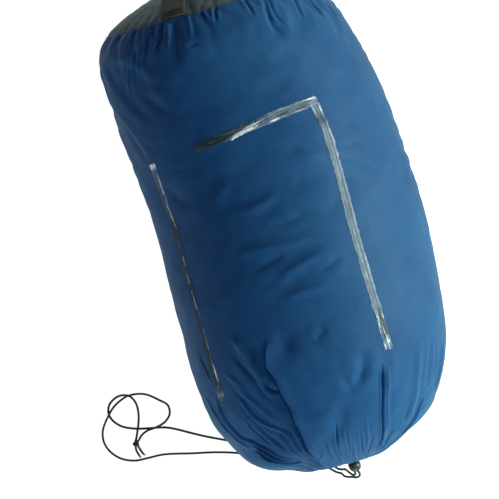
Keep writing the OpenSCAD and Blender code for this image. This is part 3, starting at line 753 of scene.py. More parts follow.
# lines of the folds on top of the sack: (x, y) points from the end seam towards the mouth, kind, height, width, how suddenly they start and stop
FOLDS = [
    ([(-48, -109), (-51, -115), (-54, -124), (-56, -132), (-56, -138), (-53, -145), (-51, -152), (-50, -161), (-48, -171), (-46, -181), (-45, -194), (-42, -208), (-40, -221), (-35, -234), (-26, -249)], "step", 7.0, 0.7, 0.09, 0.03),
    # the slack side, left of the great fold: fine ridges that run together into the mouth
    ([(-80, -97), (-76, -110), (-71, -121), (-68, -132), (-66, -144), (-62, -155)], "ridge", 2.2, 4.2, 0.2, 0.35),
    ([(-86, -114), (-80, -126), (-75, -137), (-70, -149), (-66, -161), (-60, -172)], "crease", 1.3, 2.2, 0.25, 0.3),
    ([(-114, -152), (-112, -168), (-107, -184), (-100, -197), (-91, -206), (-80, -214), (-68, -224), (-51, -235)], "ridge", 1.9, 1.5, 0.15, 0.1),
    ([(-123, -148), (-121, -163), (-115, -178), (-108, -194)], "crease", 1.8, 2.0, 0.2, 0.3),
    ([(-119, -172), (-112, -187), (-103, -201), (-92, -211)], "crease", 1.5, 1.5, 0.2, 0.3),
    ([(-117, -104), (-118, -116), (-115, -131), (-113, -144)], "ridge", 1.1, 1.8, 0.3, 0.3),
    ([(-93, -156), (-88, -166), (-83, -178), (-73, -190), (-61, -200), (-52, -212)], "ridge", 1.5, 1.6, 0.25, 0.2),
    ([(-96, -139), (-87, -153), (-78, -167), (-68, -182), (-59, -192)], "ridge", 1.3, 2.2, 0.3, 0.3),
    ([(-99, -130), (-89, -144), (-79, -159)], "ridge", 0.9, 2.4, 0.3, 0.3),
    ([(-92, -180), (-87, -193), (-80, -205), (-73, -214)], "ridge", 1.3, 1.4, 0.25, 0.25),
    ([(-84, -182), (-78, -195), (-70, -207), (-60, -219)], "crease", 1.6, 1.8, 0.25, 0.25),
    ([(-49, -194), (-49, -203), (-46, -216), (-41, -230), (-35, -242)], "ridge", 1.5, 1.3, 0.2, 0.1),
    ([(-56, -194), (-53, -206), (-48, -223), (-41, -237)], "crease", 1.6, 1.4, 0.25, 0.1),
    ([(-66, -196), (-61, -210), (-54, -224), (-45, -238)], "ridge", 1.2, 1.5, 0.3, 0.15),
    ([(-94, -210), (-84, -217), (-70, -227), (-51, -237)], "ridge", 1.8, 1.5, 0.2, 0.15),
    ([(-91, -219), (-79, -227), (-65, -234), (-47, -241)], "ridge", 1.8, 1.5, 0.2, 0.15),
    ([(-96, -213), (-83, -222), (-68, -230), (-48, -240)], "crease", 2.0, 1.5, 0.2, 0.15),
    ([(-61, -144), (-62, -151), (-60, -157), (-55, -161), (-51, -161)], "crease", 1.6, 1.9, 0.3, 0.2),
    # the middle and the right of the mouth
    ([(51, -160), (46, -183), (39, -207), (34, -226), (31, -236), (26, -246)], "crease", 3.3, 0.85, 0.14, 0.05),
    ([(56, -163), (51, -184), (44, -207), (38, -228)], "ridge", 1.1, 2.0, 0.2, 0.1),
    ([(-6, -201), (-9, -212), (-12, -227), (-11, -241)], "crease", 1.3, 0.8, 0.3, 0.1),
    ([(-12, -222), (-12, -235), (-9, -249)], "ridge", 0.7, 0.9, 0.3, 0.1),
    ([(-31, -206), (-31, -216), (-29, -230), (-24, -246)], "crease", 0.9, 0.9, 0.4, 0.1),
    ([(1, -211), (-1, -223), (-2, -236)], "crease", 0.8, 0.8, 0.35, 0.1),
    ([(-21, -215), (-20, -228), (-17, -242)], "ridge", 0.8, 1.2, 0.35, 0.1),
    ([(12, -218), (11, -229), (10, -243)], "crease", 1.1, 0.8, 0.35, 0.1),
    ([(3, -222), (3, -234), (2, -246)], "ridge", 0.7, 0.9, 0.35, 0.1),
    ([(22, -208), (19, -222), (15, -238)], "ridge", 0.7, 1.3, 0.35, 0.1),
    ([(24, -222), (20, -236), (14, -247)], "crease", 0.8, 0.8, 0.35, 0.1),
    ([(66, -156), (58, -174), (48, -197)], "ridge", 1.0, 5.0, 0.3, 0.3),
    ([(37, -143), (31, -160), (24, -182)], "crease", 1.6, 5.5, 0.35, 0.35),
    ([(94, -152), (85, -178), (74, -206), (58, -229)], "ridge", 1.8, 4.0, 0.3, 0.15),
    ([(104, -156), (97, -180), (87, -203)], "crease", 1.8, 3.0, 0.3, 0.25),
    ([(112, -158), (104, -182), (96, -200)], "ridge", 1.3, 3.0, 0.3, 0.25),
    ([(118, -162), (112, -178), (103, -197), (94, -210)], "crease", 2.8, 1.4, 0.25, 0.25),
    ([(84, -208), (74, -220), (62, -232), (50, -241)], "crease", 3.0, 1.3, 0.2, 0.15),
    ([(46, -227), (40, -236), (33, -244)], "crease", 1.0, 0.8, 0.25, 0.15),
    ([(70, -206), (60, -221), (47, -236)], "crease", 0.8, 1.4, 0.3, 0.15),
    ([(-6, -124), (1, -119), (9, -114)], "crease", 1.2, 4.0, 0.3, 0.3),
    ([(8, -161), (12, -170), (17, -176), (29, -167), (43, -155)], "crease", 1.3, 4.0, 0.2, 0.35),
    # eased pleats at the end seam
    ([(-79, 196), (-82, 187), (-90, 170)], "crease", 1.7, 1.6, 0.0, 0.5),
    ([(-62, 206), (-66, 196), (-70, 189), (-78, 178)], "crease", 2.4, 1.9, 0.0, 0.5),
    ([(-50, 203), (-54, 181), (-63, 155)], "crease", 1.6, 4.0, 0.0, 0.6),
    ([(-56, 203), (-60, 190), (-66, 176)], "ridge", 1.2, 1.6, 0.0, 0.6),
    ([(-24, 208), (-23, 204), (-21, 195)], "crease", 2.0, 1.3, 0.0, 0.6),
    ([(-36, 206), (-37, 196), (-40, 180)], "ridge", 1.0, 1.8, 0.0, 0.6),
    ([(-9, 208), (-10, 203), (-12, 190)], "crease", 1.9, 1.3, 0.0, 0.5),
    ([(20, 206), (21, 201), (24, 184)], "crease", 1.7, 1.3, 0.0, 0.6),
    ([(38, 203), (38, 190), (39, 173), (50, 156)], "crease", 1.9, 2.0, 0.0, 0.6),
    ([(42, 200), (44, 184), (53, 168)], "crease", 1.5, 1.4, 0.0, 0.6),
    ([(66, 200), (68, 190), (70, 172)], "crease", 1.9, 1.4, 0.0, 0.6),
    ([(80, 196), (85, 186), (89, 168)], "crease", 1.8, 1.5, 0.0, 0.6),
    ([(88, 192), (95, 182), (99, 160)], "crease", 1.8, 1.6, 0.0, 0.6),
    ([(-96, 186), (-103, 172), (-108, 150)], "ridge", 1.3, 1.7, 0.0, 0.6),
    ([(-103, 180), (-110, 166), (-114, 146)], "ridge", 1.2, 1.6, 0.0, 0.6),
    ([(-88, 190), (-94, 178), (-99, 160)], "ridge", 1.0, 1.6, 0.0, 0.6),
    ([(-46, 179), (-39, 177), (-32, 176)], "crease", 0.9, 1.8, 0.4, 0.4),
    # faint slack wrinkles over the middle
    ([(-44, 12), (-30, 14), (-16, 15), (4, 22)], "ridge", 1.1, 4.0, 0.4, 0.4),
    ([(-62, -30), (-40, -26), (-18, -27), (10, -30), (32, -27)], "ridge", 1.3, 4.5, 0.4, 0.4),
    ([(-30, -63), (-10, -54), (8, -49), (36, -44)], "ridge", 1.5, 4.5, 0.4, 0.4),
    ([(-32, -78), (0, -76), (31, -79)], "ridge", 1.2, 4.0, 0.4, 0.4),
    ([(-20, -6), (0, -9), (24, -4)], "crease", 0.9, 3.5, 0.4, 0.4),
    ([(-50, -44), (-28, -42), (-6, -36)], "crease", 1.1, 4.0, 0.4, 0.4),
    ([(10, -62), (26, -60), (44, -50)], "crease", 1.0, 3.5, 0.4, 0.4),
    ([(-66, 20), (-54, 34), (-36, 44)], "ridge", 0.9, 6.0, 0.4, 0.4),
    ([(20, 50), (40, 46), (54, 36)], "ridge", 0.8, 6.0, 0.4, 0.4),
    ([(88, 60), (96, 20), (100, -30)], "ridge", 0.9, 8.0, 0.4, 0.4),
    ([(-100, 60), (-92, 40), (-80, 34)], "crease", 1.0, 5.0, 0.4, 0.4),
]


def skin_displacement():
    tu = TG / (2 * math.pi)  # 0..1 round the sack
    D = np.zeros_like(TG)
    Z = B0[..., 2]
    # on top, seen from above, the folds drawn one by one take over from the general gathers
    drawn = np.exp(-((TG - math.pi / 2) / 1.05) ** 2)
    # gathers at the mouth: small pleats that merge into fewer, larger folds as they run out
    w = 0.46 * noise(tu * 13, SG / 55.0, 11, 13) + 0.22 * noise(tu * 26, SG / 28.0, 12, 26)
    x3 = 13 * tu + w
    m3 = 0.5 + 0.5 * noise(tu * 13, SG * 0 + 3.5, 13, 13)
    m2 = 0.5 + 0.5 * noise(tu * 26, SG * 0 + 7.5, 14, 26)
    m1 = 0.5 + 0.5 * noise(tu * 52, SG * 0 + 1.5, 15, 52)
    L3, L2, L1 = 62 + 75 * m3, 24 + 42 * m2, 10 + 13 * m1
    D += sstep(6, 40, SG) * np.exp(-(SG / L3) ** 2) * 4.6 * (0.35 + 0.9 * m3) * (1 - 0.8 * drawn) * (cusp(x3) - 0.8)
    D += sstep(0, 16, SG) * np.exp(-(SG / L2) ** 2) * 3.0 * (0.35 + 0.9 * m2) * (1 - 0.75 * drawn) * (cusp(2 * x3 + 0.15 * noise(tu * 26, SG / 20.0, 16, 26)) - 0.85)
    D += np.exp(-(SG / L1) ** 2) * 2.0 * (0.6 + 0.6 * m1) * (1 - 0.7 * drawn) * (cusp(4 * x3, 0.2) - 0.9)
    # pleats where the blue fabric is eased on to the smaller grey end
    wp = 0.42 * noise(tu * 54, EG / 22.0, 21, 54) + 0.5 * noise(tu * 18, EG / 60.0, 22, 18)
    x5 = 54 * tu + wp
    r5 = 0.5 + 0.5 * noise(tu * 54, EG * 0 + 2.5, 23, 54)
    r6 = 0.5 + 0.5 * noise(tu * 27, EG * 0 + 5.5, 24, 27)
    l5, l6 = 7 + 26 * r5 ** 2, 16 + 46 * r6 ** 2
    edge = sstep(0, 4.5, EG)
    drawn5 = np.exp(-((TG - math.pi / 2) / 0.95) ** 2)
    D += edge * np.exp(-(EG / l5) ** 2) * 1.7 * (0.35 + 0.9 * r5) * (1 - 0.45 * drawn5) * (cusp(x5, 0.16) - 0.8)
    D += edge * np.exp(-(EG / l6) ** 2) * 2.0 * (0.25 + 1.0 * r6) * (1 - 0.6 * drawn5) * (cusp(x5 / 2, 0.14) - 0.8)
    # slow hollows and swellings of the stuffing
    calm = 0.45 + 0.55 * (1 - drawn)
    D += calm * (1.5 * noise(tu * 7, SG / 85.0, 31, 7) + 0.9 * noise(tu * 15, SG / 42.0, 32, 15))
    X, Y = B0[..., 0], B0[..., 1]
    g = (X * 0.35 + Y * 0.93) / 24.0 + 1.1 * noise(tu * 11, SG / 60.0, 33, 11)
    amp = np.clip(noise(tu * 9, SG / 75.0, 34, 9), 0, 1)
    D += 1.3 * amp * (1 - 0.6 * drawn) * (cusp(g, 0.35) - 0.6)
    g2 = (X * -0.62 + Y * 0.78 + Z * 0.3) / 17.0 + 1.3 * noise(tu * 13, SG / 45.0, 35, 13)
    amp2 = np.clip(noise(tu * 10, SG / 60.0, 36, 10) - 0.1, 0, 1)
    D += 1.0 * amp2 * (1 - 0.7 * drawn) * (cusp(g2, 0.3) - 0.6)
    D += 0.22 * noise(tu * 64, SG / 9.0, 37, 64) * (1 - 0.5 * drawn)
    for pts, kind, h, wd, a_in, a_out in FOLDS:
        rows, cols, sd, tp = path_distance(pts)
        along = sstep(-0.001, max(a_in, 1e-3), tp) * (1 - sstep(1 - a_out, 1.001, tp)) if a_out > 0 else sstep(-0.001, max(a_in, 1e-3), tp)
        ad = np.abs(sd)
        end = (tp <= 0) | (tp >= 1)
        if kind == "step":
            sd = -sd
            f = np.where(sd > 0, 0.50 * h * np.exp(-ad / 18.0), -0.62 * h * np.exp(-ad / 8.0)) * np.tanh(ad / wd)
            f = f + np.where(sd > 0, 0.07 * h * np.exp(-((sd - 4) / 4.0) ** 2), 0) - 0.25 * h * np.exp(-((sd + 1.1) / 1.2) ** 2)
            f = f + 0.10 * h * np.exp(-((sd - 1.5) / 1.2) ** 2) * (1 - sstep(0.12, 0.34, tp))
        elif kind == "ridge":
            f = h * (np.exp(-(ad / wd) ** 2) - 0.35 * np.exp(-((ad - 2.2 * wd) / (1.3 * wd)) ** 2))
        else:
            f = -h * np.exp(-(ad / wd) ** 1.5) + 0.32 * h * np.exp(-((ad - 2.3 * wd) / (1.3 * wd)) ** 2)
        f = f * along
        blk = D[rows]
        blk[:, cols] += f
        D[rows] = blk
    D += slack_wrinkles()
    # a hollow beside the top of the great fold
    hx, hy = X + 34, Y + 120
    D -= 2.4 * np.exp(-(hx / 9.0) ** 2 - (hy / 13.0) ** 2) * (Z > 120)
    # the slack side droops a little short of the mouth
    D -= 4.8 * np.exp(-((X + 50) / 27.0) ** 2) * sstep(222, 244, -Y) * sstep(8, 26, SG)
    # under the sack the weight presses the fabric flat
    D *= 0.12 + 0.88 * sstep(2, 34, Z)
    D -= 0.9 * np.exp(-(EG / 6.0) ** 2)
    return D


DISP = skin_displacement()
SKIN = B0 + N0 * DISP[..., None]
SKIN[..., 2] = np.maximum(SKIN[..., 2], 0.15)
# the last rows turn in at the seam and at the hem
LIM = np.array(CAD_BOX) * 1000


def skin_at(u, th, d=0.0):
    """Point on the finished skin for arrays of u and th, d mm outside it."""
    fi = np.interp(u, U, np.arange(NU))
    fj = (np.asarray(th) % (2 * math.pi)) / (2 * math.pi) * NT
    i = np.clip(np.floor(fi).astype(int), 0, NU - 2)
    j = np.floor(fj).astype(int) % NT
    a, b = (fi - i)[..., None], (fj - np.floor(fj))[..., None]
    j2 = (j + 1) % NT

    def pick(G):
        return (G[i, j] * (1 - b) + G[i, j2] * b) * (1 - a) + (G[i + 1, j] * (1 - b) + G[i + 1, j2] * b) * a
    n = pick(NSKIN)
    n /= np.linalg.norm(n, axis=-1, keepdims=True)
    return pick(SKIN) + n * (np.asarray(d)[..., None] if np.ndim(d) else d)


NSKIN = normals(SKIN)
GIRTH = 2 * math.pi * np.sqrt((station(U)[:, 2] ** 2 + station(U)[:, 3] ** 2) / 2)
FAB = np.stack([TG / (2 * math.pi) * 760.0, SG, np.zeros_like(TG)], -1)

# lips: three rows turned inwards at both ends, so that no cut edge shows
lip0 = [SKIN[0] + (MC - SKIN[0]) * k + np.array([0, dy, 0]) for k, dy in ((0.06, 2.0), (0.02, 6.0), (0.0, 10.0))]
PC = np.array([-19.0, 219.0, 108.0])
lip1 = [SKIN[-1] + (PC - SKIN[-1]) * k + np.array([0, dy, 0]) for k, dy in ((0.03, 0.4), (0.06, -1.2), (0.07, -6.0))]
ALL = np.concatenate([np.array(lip0)[::-1], SKIN, np.array(lip1)], 0)
FABALL = np.concatenate([FAB[:1] - [0, 3 * k, 0] for k in (3, 2, 1)] + [FAB] + [FAB[-1:] + [0, 3 * k, 0] for k in (1, 2, 3)], 0)
skin = new_mesh("sack_fabric", ALL.reshape(-1, 3), grid_faces(len(ALL), NT, True, flip=True).tolist(), M_BLUE, attrs={"fab": FABALL.reshape(-1, 3)})
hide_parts("sack_body")
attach(skin, "root")

# ------------------------------------------------------------------ grey end panel
T_ = math.radians(6.6)
EN = np.array([0, math.cos(T_), math.sin(T_)])     # outward normal of the seam's plane
EU = np.array([0, -math.sin(T_), math.cos(T_)])    # up, in that plane
EX = np.array([1.0, 0, 0])


def end_pt(x, up, h):
    return PC + np.multiply.outer(x, EX) + np.multiply.outer(up, EU) + np.multiply.outer(h, EN)


NR, NA = ((110, 480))
rr = np.linspace(0, 1, NR) ** 0.85
aa = np.arange(NA) * 2 * math.pi / NA
RG, AG = np.meshgrid(rr, aa, indexing="ij")
ta = AG / (2 * math.pi)
H = 31.0 * (1 - RG ** 2)
edge_d = (1 - RG) * 101
H += -1.8 * np.exp(-(edge_d / 3.0) ** 2)
lp = 10 + 26 * (0.5 + 0.5 * noise(ta * 48, RG * 0 + 4.5, 41, 48)) ** 2
H += sstep(0, 4, edge_d) * np.exp(-(edge_d / lp) ** 2) * 1.5 * (cusp(48 * ta + 0.4 * noise(ta * 48, RG * 6, 42, 48), 0.2) - 0.55)
xw, yw = RG * np.cos(AG) * 101, RG * np.sin(AG) * 101
H += (1 - RG) ** 0.3 * (1.6 * noise(xw / 30 + 20, yw / 30 + 20, 43) + 0.6 * noise(xw / 12 + 40, yw / 12 + 40, 44))
gg = (xw * 0.8 - yw * 0.5) / 17 + 1.2 * noise(xw / 40 + 10, yw / 40 + 10, 45)
H += 0.7 * (1 - RG) ** 0.4 * (cusp(gg, 0.35) - 0.5)
DOME = end_pt(RG * np.cos(AG) * 101.2, RG * np.sin(AG) * 101.2, H)
rim = [DOME[-1] + (PC - DOME[-1]) * 0.01 - EN * 1.5, DOME[-1] + (PC - DOME[-1]) * 0.035 - EN * 5]
DALL = np.concatenate([DOME[1:], np.array(rim)], 0)
dv = np.vstack([DOME[0, :1], DALL.reshape(-1, 3)])
df = (grid_faces(len(DALL), NA, True, base=1)).tolist() + [[0, 1 + (k + 1) % NA, 1 + k] for k in range(NA)]
dfab = np.vstack([[0, 0, 0], np.concatenate([np.stack([xw[1:], yw[1:], 0 * xw[1:]], -1)] + [np.stack([xw[-1:], yw[-1:], 0 * xw[-1:]], -1)] * 2, 0).reshape(-1, 3)])
dome = new_mesh("end_fabric", dv, df, M_GREY, attrs={"fab": dfab})
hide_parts("end_panel")
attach(dome, "root")

# ------------------------------------------------------------------ small sewn and moulded pieces
from mathutils.bvhtree import BVHTree


def bvh_of(verts, faces):
    return BVHTree.FromPolygons([tuple(v) for v in verts], faces, all_triangles=False)


SKINTREE = bvh_of(SKIN.reshape(-1, 3), grid_faces(NU, NT, True, flip=True).tolist())
DOMETREE = bvh_of(dv, df)


def drop_on_skin(x, y, side=1):
    """Height and normal of the skin under (x, y), seen from above."""
    hit, nrm, _, _ = SKINTREE.ray_cast(Vector((x, y, 400.0)), Vector((0, 0, -1)))
    if hit is None:
        hit, nrm, _, _ = SKINTREE.find_nearest(Vector((x, y, 110.0)))
    if nrm.z < 0:
        nrm = -nrm
    return np.array(hit), np.array(nrm)


def bead(P0, P1, r, up, n=6):
    """One stitch: a rounded thread end to end."""
    P0, P1 = np.asarray(P0, float), np.asarray(P1, float)
    m = (P0 + P1) / 2 + np.asarray(up) * r * 0.9
    P = np.array([P0 - np.asarray(up) * r * 0.5, P0 * 0.75 + m * 0.25 + np.asarray(up) * r * 0.5, m, P1 * 0.75 + m * 0.25 + np.asarray(up) * r * 0.5, P1 - np.asarray(up) * r * 0.5])
    V, F, co = tube(P, np.array([0.55, 0.95, 1.0, 0.95, 0.55]) * r, n, True)
    return V, F


def stitches(P, up, r=0.28, every=3.0, fill=0.72):
    """A row of stitches along the points P, with up the outward direction at each."""
    P, up = np.asarray(P, float), np.asarray(up, float)
    s = np.concatenate([[0], np.cumsum(np.linalg.norm(np.diff(P, axis=0), axis=1))])
    out = []
    k = 0.5 * every
    while k + every * fill < s[-1]:
        a = np.array([np.interp(k, s, P[:, c]) for c in range(3)])
        b = np.array([np.interp(k + every * fill, s, P[:, c]) for c in range(3)])
        u = np.array([np.interp(k + every * fill / 2, s, up[:, c]) for c in range(3)])
        out.append(bead(a, b, r, u / np.linalg.norm(u)))
        k += every
    return out


def node_piece(ob, node_name, body="root"):
    if node_name:
        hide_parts(*([node_name] if isinstance(node_name, str) else node_name))
    if body:
        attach(ob, body)
    return ob


# the gathered hem: a fabric tunnel bunched up on its cord
nh, nr = ((720, 32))
ta_ = np.arange(nh) * 2 * math.pi / nh
tb_ = np.arange(nr) * 2 * math.pi / nr
HA, HB = np.meshgrid(ta_, tb_, indexing="ij")
hx = 30 * HA / (2 * math.pi) + 0.3 * noise(HA / (2 * math.pi) * 30, HB * 0 + 1.5, 51, 30)
ple = cusp(hx, 0.18)
big = 0.5 + 0.5 * noise(HA / (2 * math.pi) * 10, HB * 0 + 4.5, 52, 10)
hr = 3.55 + 0.62 * ple * (0.6 + 0.6 * big)
hm = 17 + 0.35 * noise(HA / (2 * math.pi) * 10, HB * 0 + 9.5, 53, 10)
HV = np.stack([MC[0] + (hm + hr * np.cos(HB)) * np.cos(HA), MC[1] + hr * np.sin(HB) * 0.98, MC[2] + (hm + hr * np.cos(HB)) * np.sin(HA)], -1)
hole_a = math.atan2(129.5 - MC[2], 0 - MC[0])
dd = np.abs((HA - hole_a + math.pi) % (2 * math.pi) - math.pi) * 17
near = np.exp(-(dd / 5.0) ** 2) * np.exp(-((HB - 1.5 * math.pi) / 0.9) ** 2)
HV[..., 1] += near * 0.25
hem = new_mesh("hem_gathered", HV.reshape(-1, 3), [list(f) for f in np.concatenate([grid_faces(nh, nr, True), np.stack([np.arange(nr) + (nh - 1) * nr, (np.arange(nr) + 1) % nr + (nh - 1) * nr, (np.arange(nr) + 1) % nr, np.arange(nr)], -1)])],
               M_HEM, attrs={"fab": np.stack([HA * 17, HB * 4, 0 * HA], -1).reshape(-1, 3)})
node_piece(hem, "cord_channel")

# stitched buttonhole in the hem
pr = []
for k in range(30):
    t = 2 * math.pi * k / 30
    cx, cz = 0 + 3.5 * math.cos(t), 129.5 + 2.0 * math.sin(t)
    ox, oz = 0 + 4.6 * math.cos(t), 129.5 + 3.0 * math.sin(t)
    pr.append(bead((cx, MC[1] - 3.95, cz), (ox, MC[1] - 3.85, oz), 0.3, (0, -1, 0)))
bv, bf = joined(pr)
node_piece(new_mesh("buttonhole_stitches", bv, bf, M_THREAD), "buttonhole_rim")

# lengthwise flat-felled seam on the sack's lower right side, with two rows of stitches
su = np.linspace(7, NS - 0.12, 240)
sth = math.radians(-34.2)
halfw = 4.2
rowsv = []
prof = [(-1.0, -0.25), (-0.93, 0.42), (-0.6, 0.52), (0.0, 0.40), (0.6, 0.52), (0.93, 0.42), (1.0, -0.25)]
Rloc = (station(su)[:, 2] + station(su)[:, 3]) / 2
for off, h in prof:
    rowsv.append(skin_at(su, np.full(len(su), sth) + off * halfw / Rloc, h + 0.08 * np.sin(np.arange(len(su)) * 1.3)))
SV = np.stack(rowsv, 1)
ss_ = np.concatenate([[0], np.cumsum(np.linalg.norm(np.diff(SV[:, 3], axis=0), axis=1))])
sfab = np.stack([np.broadcast_to(np.array([o for o, _ in prof]) * halfw, SV.shape[:2]), np.broadcast_to(ss_[:, None], SV.shape[:2]), np.zeros(SV.shape[:2])], -1)
back = np.stack([skin_at(su, np.full(len(su), sth) + off * halfw / Rloc, -0.6) for off, _ in prof[::-1]], 1)
SVV = np.concatenate([SV, back], 1)
nv2 = SVV.shape[1]
sf = grid_faces(len(su), nv2, True).tolist() + [list(range(nv2)), [(len(su) - 1) * nv2 + k for k in range(nv2 - 1, -1, -1)]]
seam = new_mesh("side_seam_felled", SVV.reshape(-1, 3), sf, M_HEM, attrs={"fab": np.concatenate([sfab, sfab], 1).reshape(-1, 3)})
node_piece(seam, "side_seam")
pr = []
for off in (-0.66, 0.66):
    P = skin_at(su, np.full(len(su), sth) + off * halfw / Rloc, 0.52)
    n_ = skin_at(su, np.full(len(su), sth) + off * halfw / Rloc, 1.52) - P
    pr += stitches(P, n_, 0.24, 3.4)
bv, bf = joined(pr)
st_ob = new_mesh("side_seam_stitches", bv, bf, M_THREAD)
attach(st_ob, "root")

# binding tape folded over the raw edges inside the end seam
na_ = 360
ba = np.arange(na_) * 2 * math.pi / na_
prof = [(97.8, -3.5), (97.4, -9.5), (96.3, -10.4), (95.2, -9.5), (95.0, -3.5), (96.4, -3.0)]
BV = np.stack([end_pt(np.cos(ba) * (r + 0.12 * np.sin(ba * 60)), np.sin(ba) * (r + 0.12 * np.sin(ba * 60)), np.full(na_, h + 0.15 * np.sin(ba * 37))) for r, h in prof], 1)
np_ = len(prof)
bf = np.concatenate([grid_faces(na_, np_, True), np.stack([np.arange(np_) + (na_ - 1) * np_, (np.arange(np_) + 1) % np_ + (na_ - 1) * np_, (np.arange(np_) + 1) % np_, np.arange(np_)], -1)]).tolist()
bind = new_mesh("end_binding", BV.reshape(-1, 3), bf, M_BIND, attrs={"fab": np.stack([np.broadcast_to(np.arange(np_) * 4.0, (na_, np_)), np.broadcast_to((ba * 97)[:, None], (na_, np_)), np.zeros((na_, np_))], -1).reshape(-1, 3)})
node_piece(bind, "end_seam_binding")

# ------------------------------------------------------------------ webbing handle
HR, HC = 132.0, -85.0


def handle_pt(a, off, lift, w):
    """Point on the webbing: a degrees along the arc, lift above its inner face, w across the width (-12.5 to 12.5)."""
    r = HR + lift
    s = r * np.sin(a)
    h = HC + r * np.cos(a)
    return PC + np.multiply.outer(w * 1.0, SIDE) + np.multiply.outer(s, ALONG) + np.multiply.outer(h, EN)


AX = np.array([-0.309, -0.1094, 0.9447])
ALONG = AX / np.linalg.norm(AX)
SIDE = np.cross(EN, ALONG)
SIDE /= np.linalg.norm(SIDE)


def strap_mesh(name, a_lo, a_hi, n, seed, warp=1.0):
    a = np.radians(np.linspace(a_lo, a_hi, n))
    # a cross-section with rounded selvedges
    ws = np.array([-12.5, -12.35, -11.9, -11.0, -8, -4, 0, 4, 8, 11.0, 11.9, 12.35, 12.5])
    th_ = np.array([0.25, 0.62, 0.88, 1.0, 0.93, 0.95, 0.93, 0.95, 0.93, 1.0, 0.88, 0.62, 0.25]) * 0.9
    top, bot = [], []
    for w_, t_ in zip(ws, th_):
        wave = 0.22 * np.sin(a * 21 + seed) * (w_ / 12.5) + 0.15 * np.sin(a * 47 + 2 * seed)
        edge_ = w_ + 0.12 * np.sin(a * 160 + seed) * (abs(w_) > 12)
        cup = -0.35 * (w_ / 12.5) ** 2
        top.append(PC + np.multiply.outer(edge_, SIDE) + np.multiply.outer((HR + 0.9 + t_ + wave * warp + cup) * np.sin(a), ALONG) + np.multiply.outer(HC + (HR + 0.9 + t_ + wave * warp + cup) * np.cos(a), EN))
        bot.append(PC + np.multiply.outer(edge_, SIDE) + np.multiply.outer((HR + 0.9 - t_ + wave * warp + cup) * np.sin(a), ALONG) + np.multiply.outer(HC + (HR + 0.9 - t_ + wave * warp + cup) * np.cos(a), EN))
    G = np.stack(top + bot[::-1], 1)
    m = G.shape[1]
    arc_ = a * HR
    W2 = np.concatenate([ws, ws[::-1]])
    co = np.stack([np.broadcast_to(W2, (n, m)), np.broadcast_to(arc_[:, None], (n, m)), np.zeros((n, m))], -1)
    F = grid_faces(n, m, True).tolist() + [list(range(m - 1, -1, -1)), [(n - 1) * m + k for k in range(m)]]
    return new_mesh(name, G.reshape(-1, 3), F, M_WEB, attrs={"fab": co.reshape(-1, 3)})


nst = 140
strap = strap_mesh("webbing_middle", -33, 33, nst, 1.0)
node_piece(strap, "handle_strap", "handle")
end_a = strap_mesh("webbing_end_low", -49.1, -32.9, nst // 3, 1.0)
end_b = strap_mesh("webbing_end_high", 32.9, 49.1, nst // 3, 1.0)


for ob_, s_, e_ in ((end_a, -44.0, -33.2), (end_b, 44.0, 33.2)):
    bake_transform(ob_)
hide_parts("handle_ends")
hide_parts("handle_ends")
pr = []
for sgn_ in (-1, 1):
    for row_ in (46.6, 47.5, 48.4):
        for k in range(13):
            w0 = -9.6 + 1.6 * k
            a_ = math.radians(sgn_ * row_)
            up_ = ALONG * math.sin(a_) + EN * math.cos(a_)
            base = PC + ALONG * (HR + 1.86) * math.sin(a_) + EN * (HC + (HR + 1.86) * math.cos(a_))
            dz = 0.35 * (-1) ** k
            tang = ALONG * math.cos(a_) - EN * math.sin(a_)
            pr.append(bead(base + SIDE * (w0 - 0.95) + tang * dz, base + SIDE * (w0 + 0.95) - tang * dz, 0.34, up_))
bv, bf = joined(pr)
node_piece(new_mesh("handle_bar_tacks", bv, bf, M_THREADBLK), "handle_bartacks")


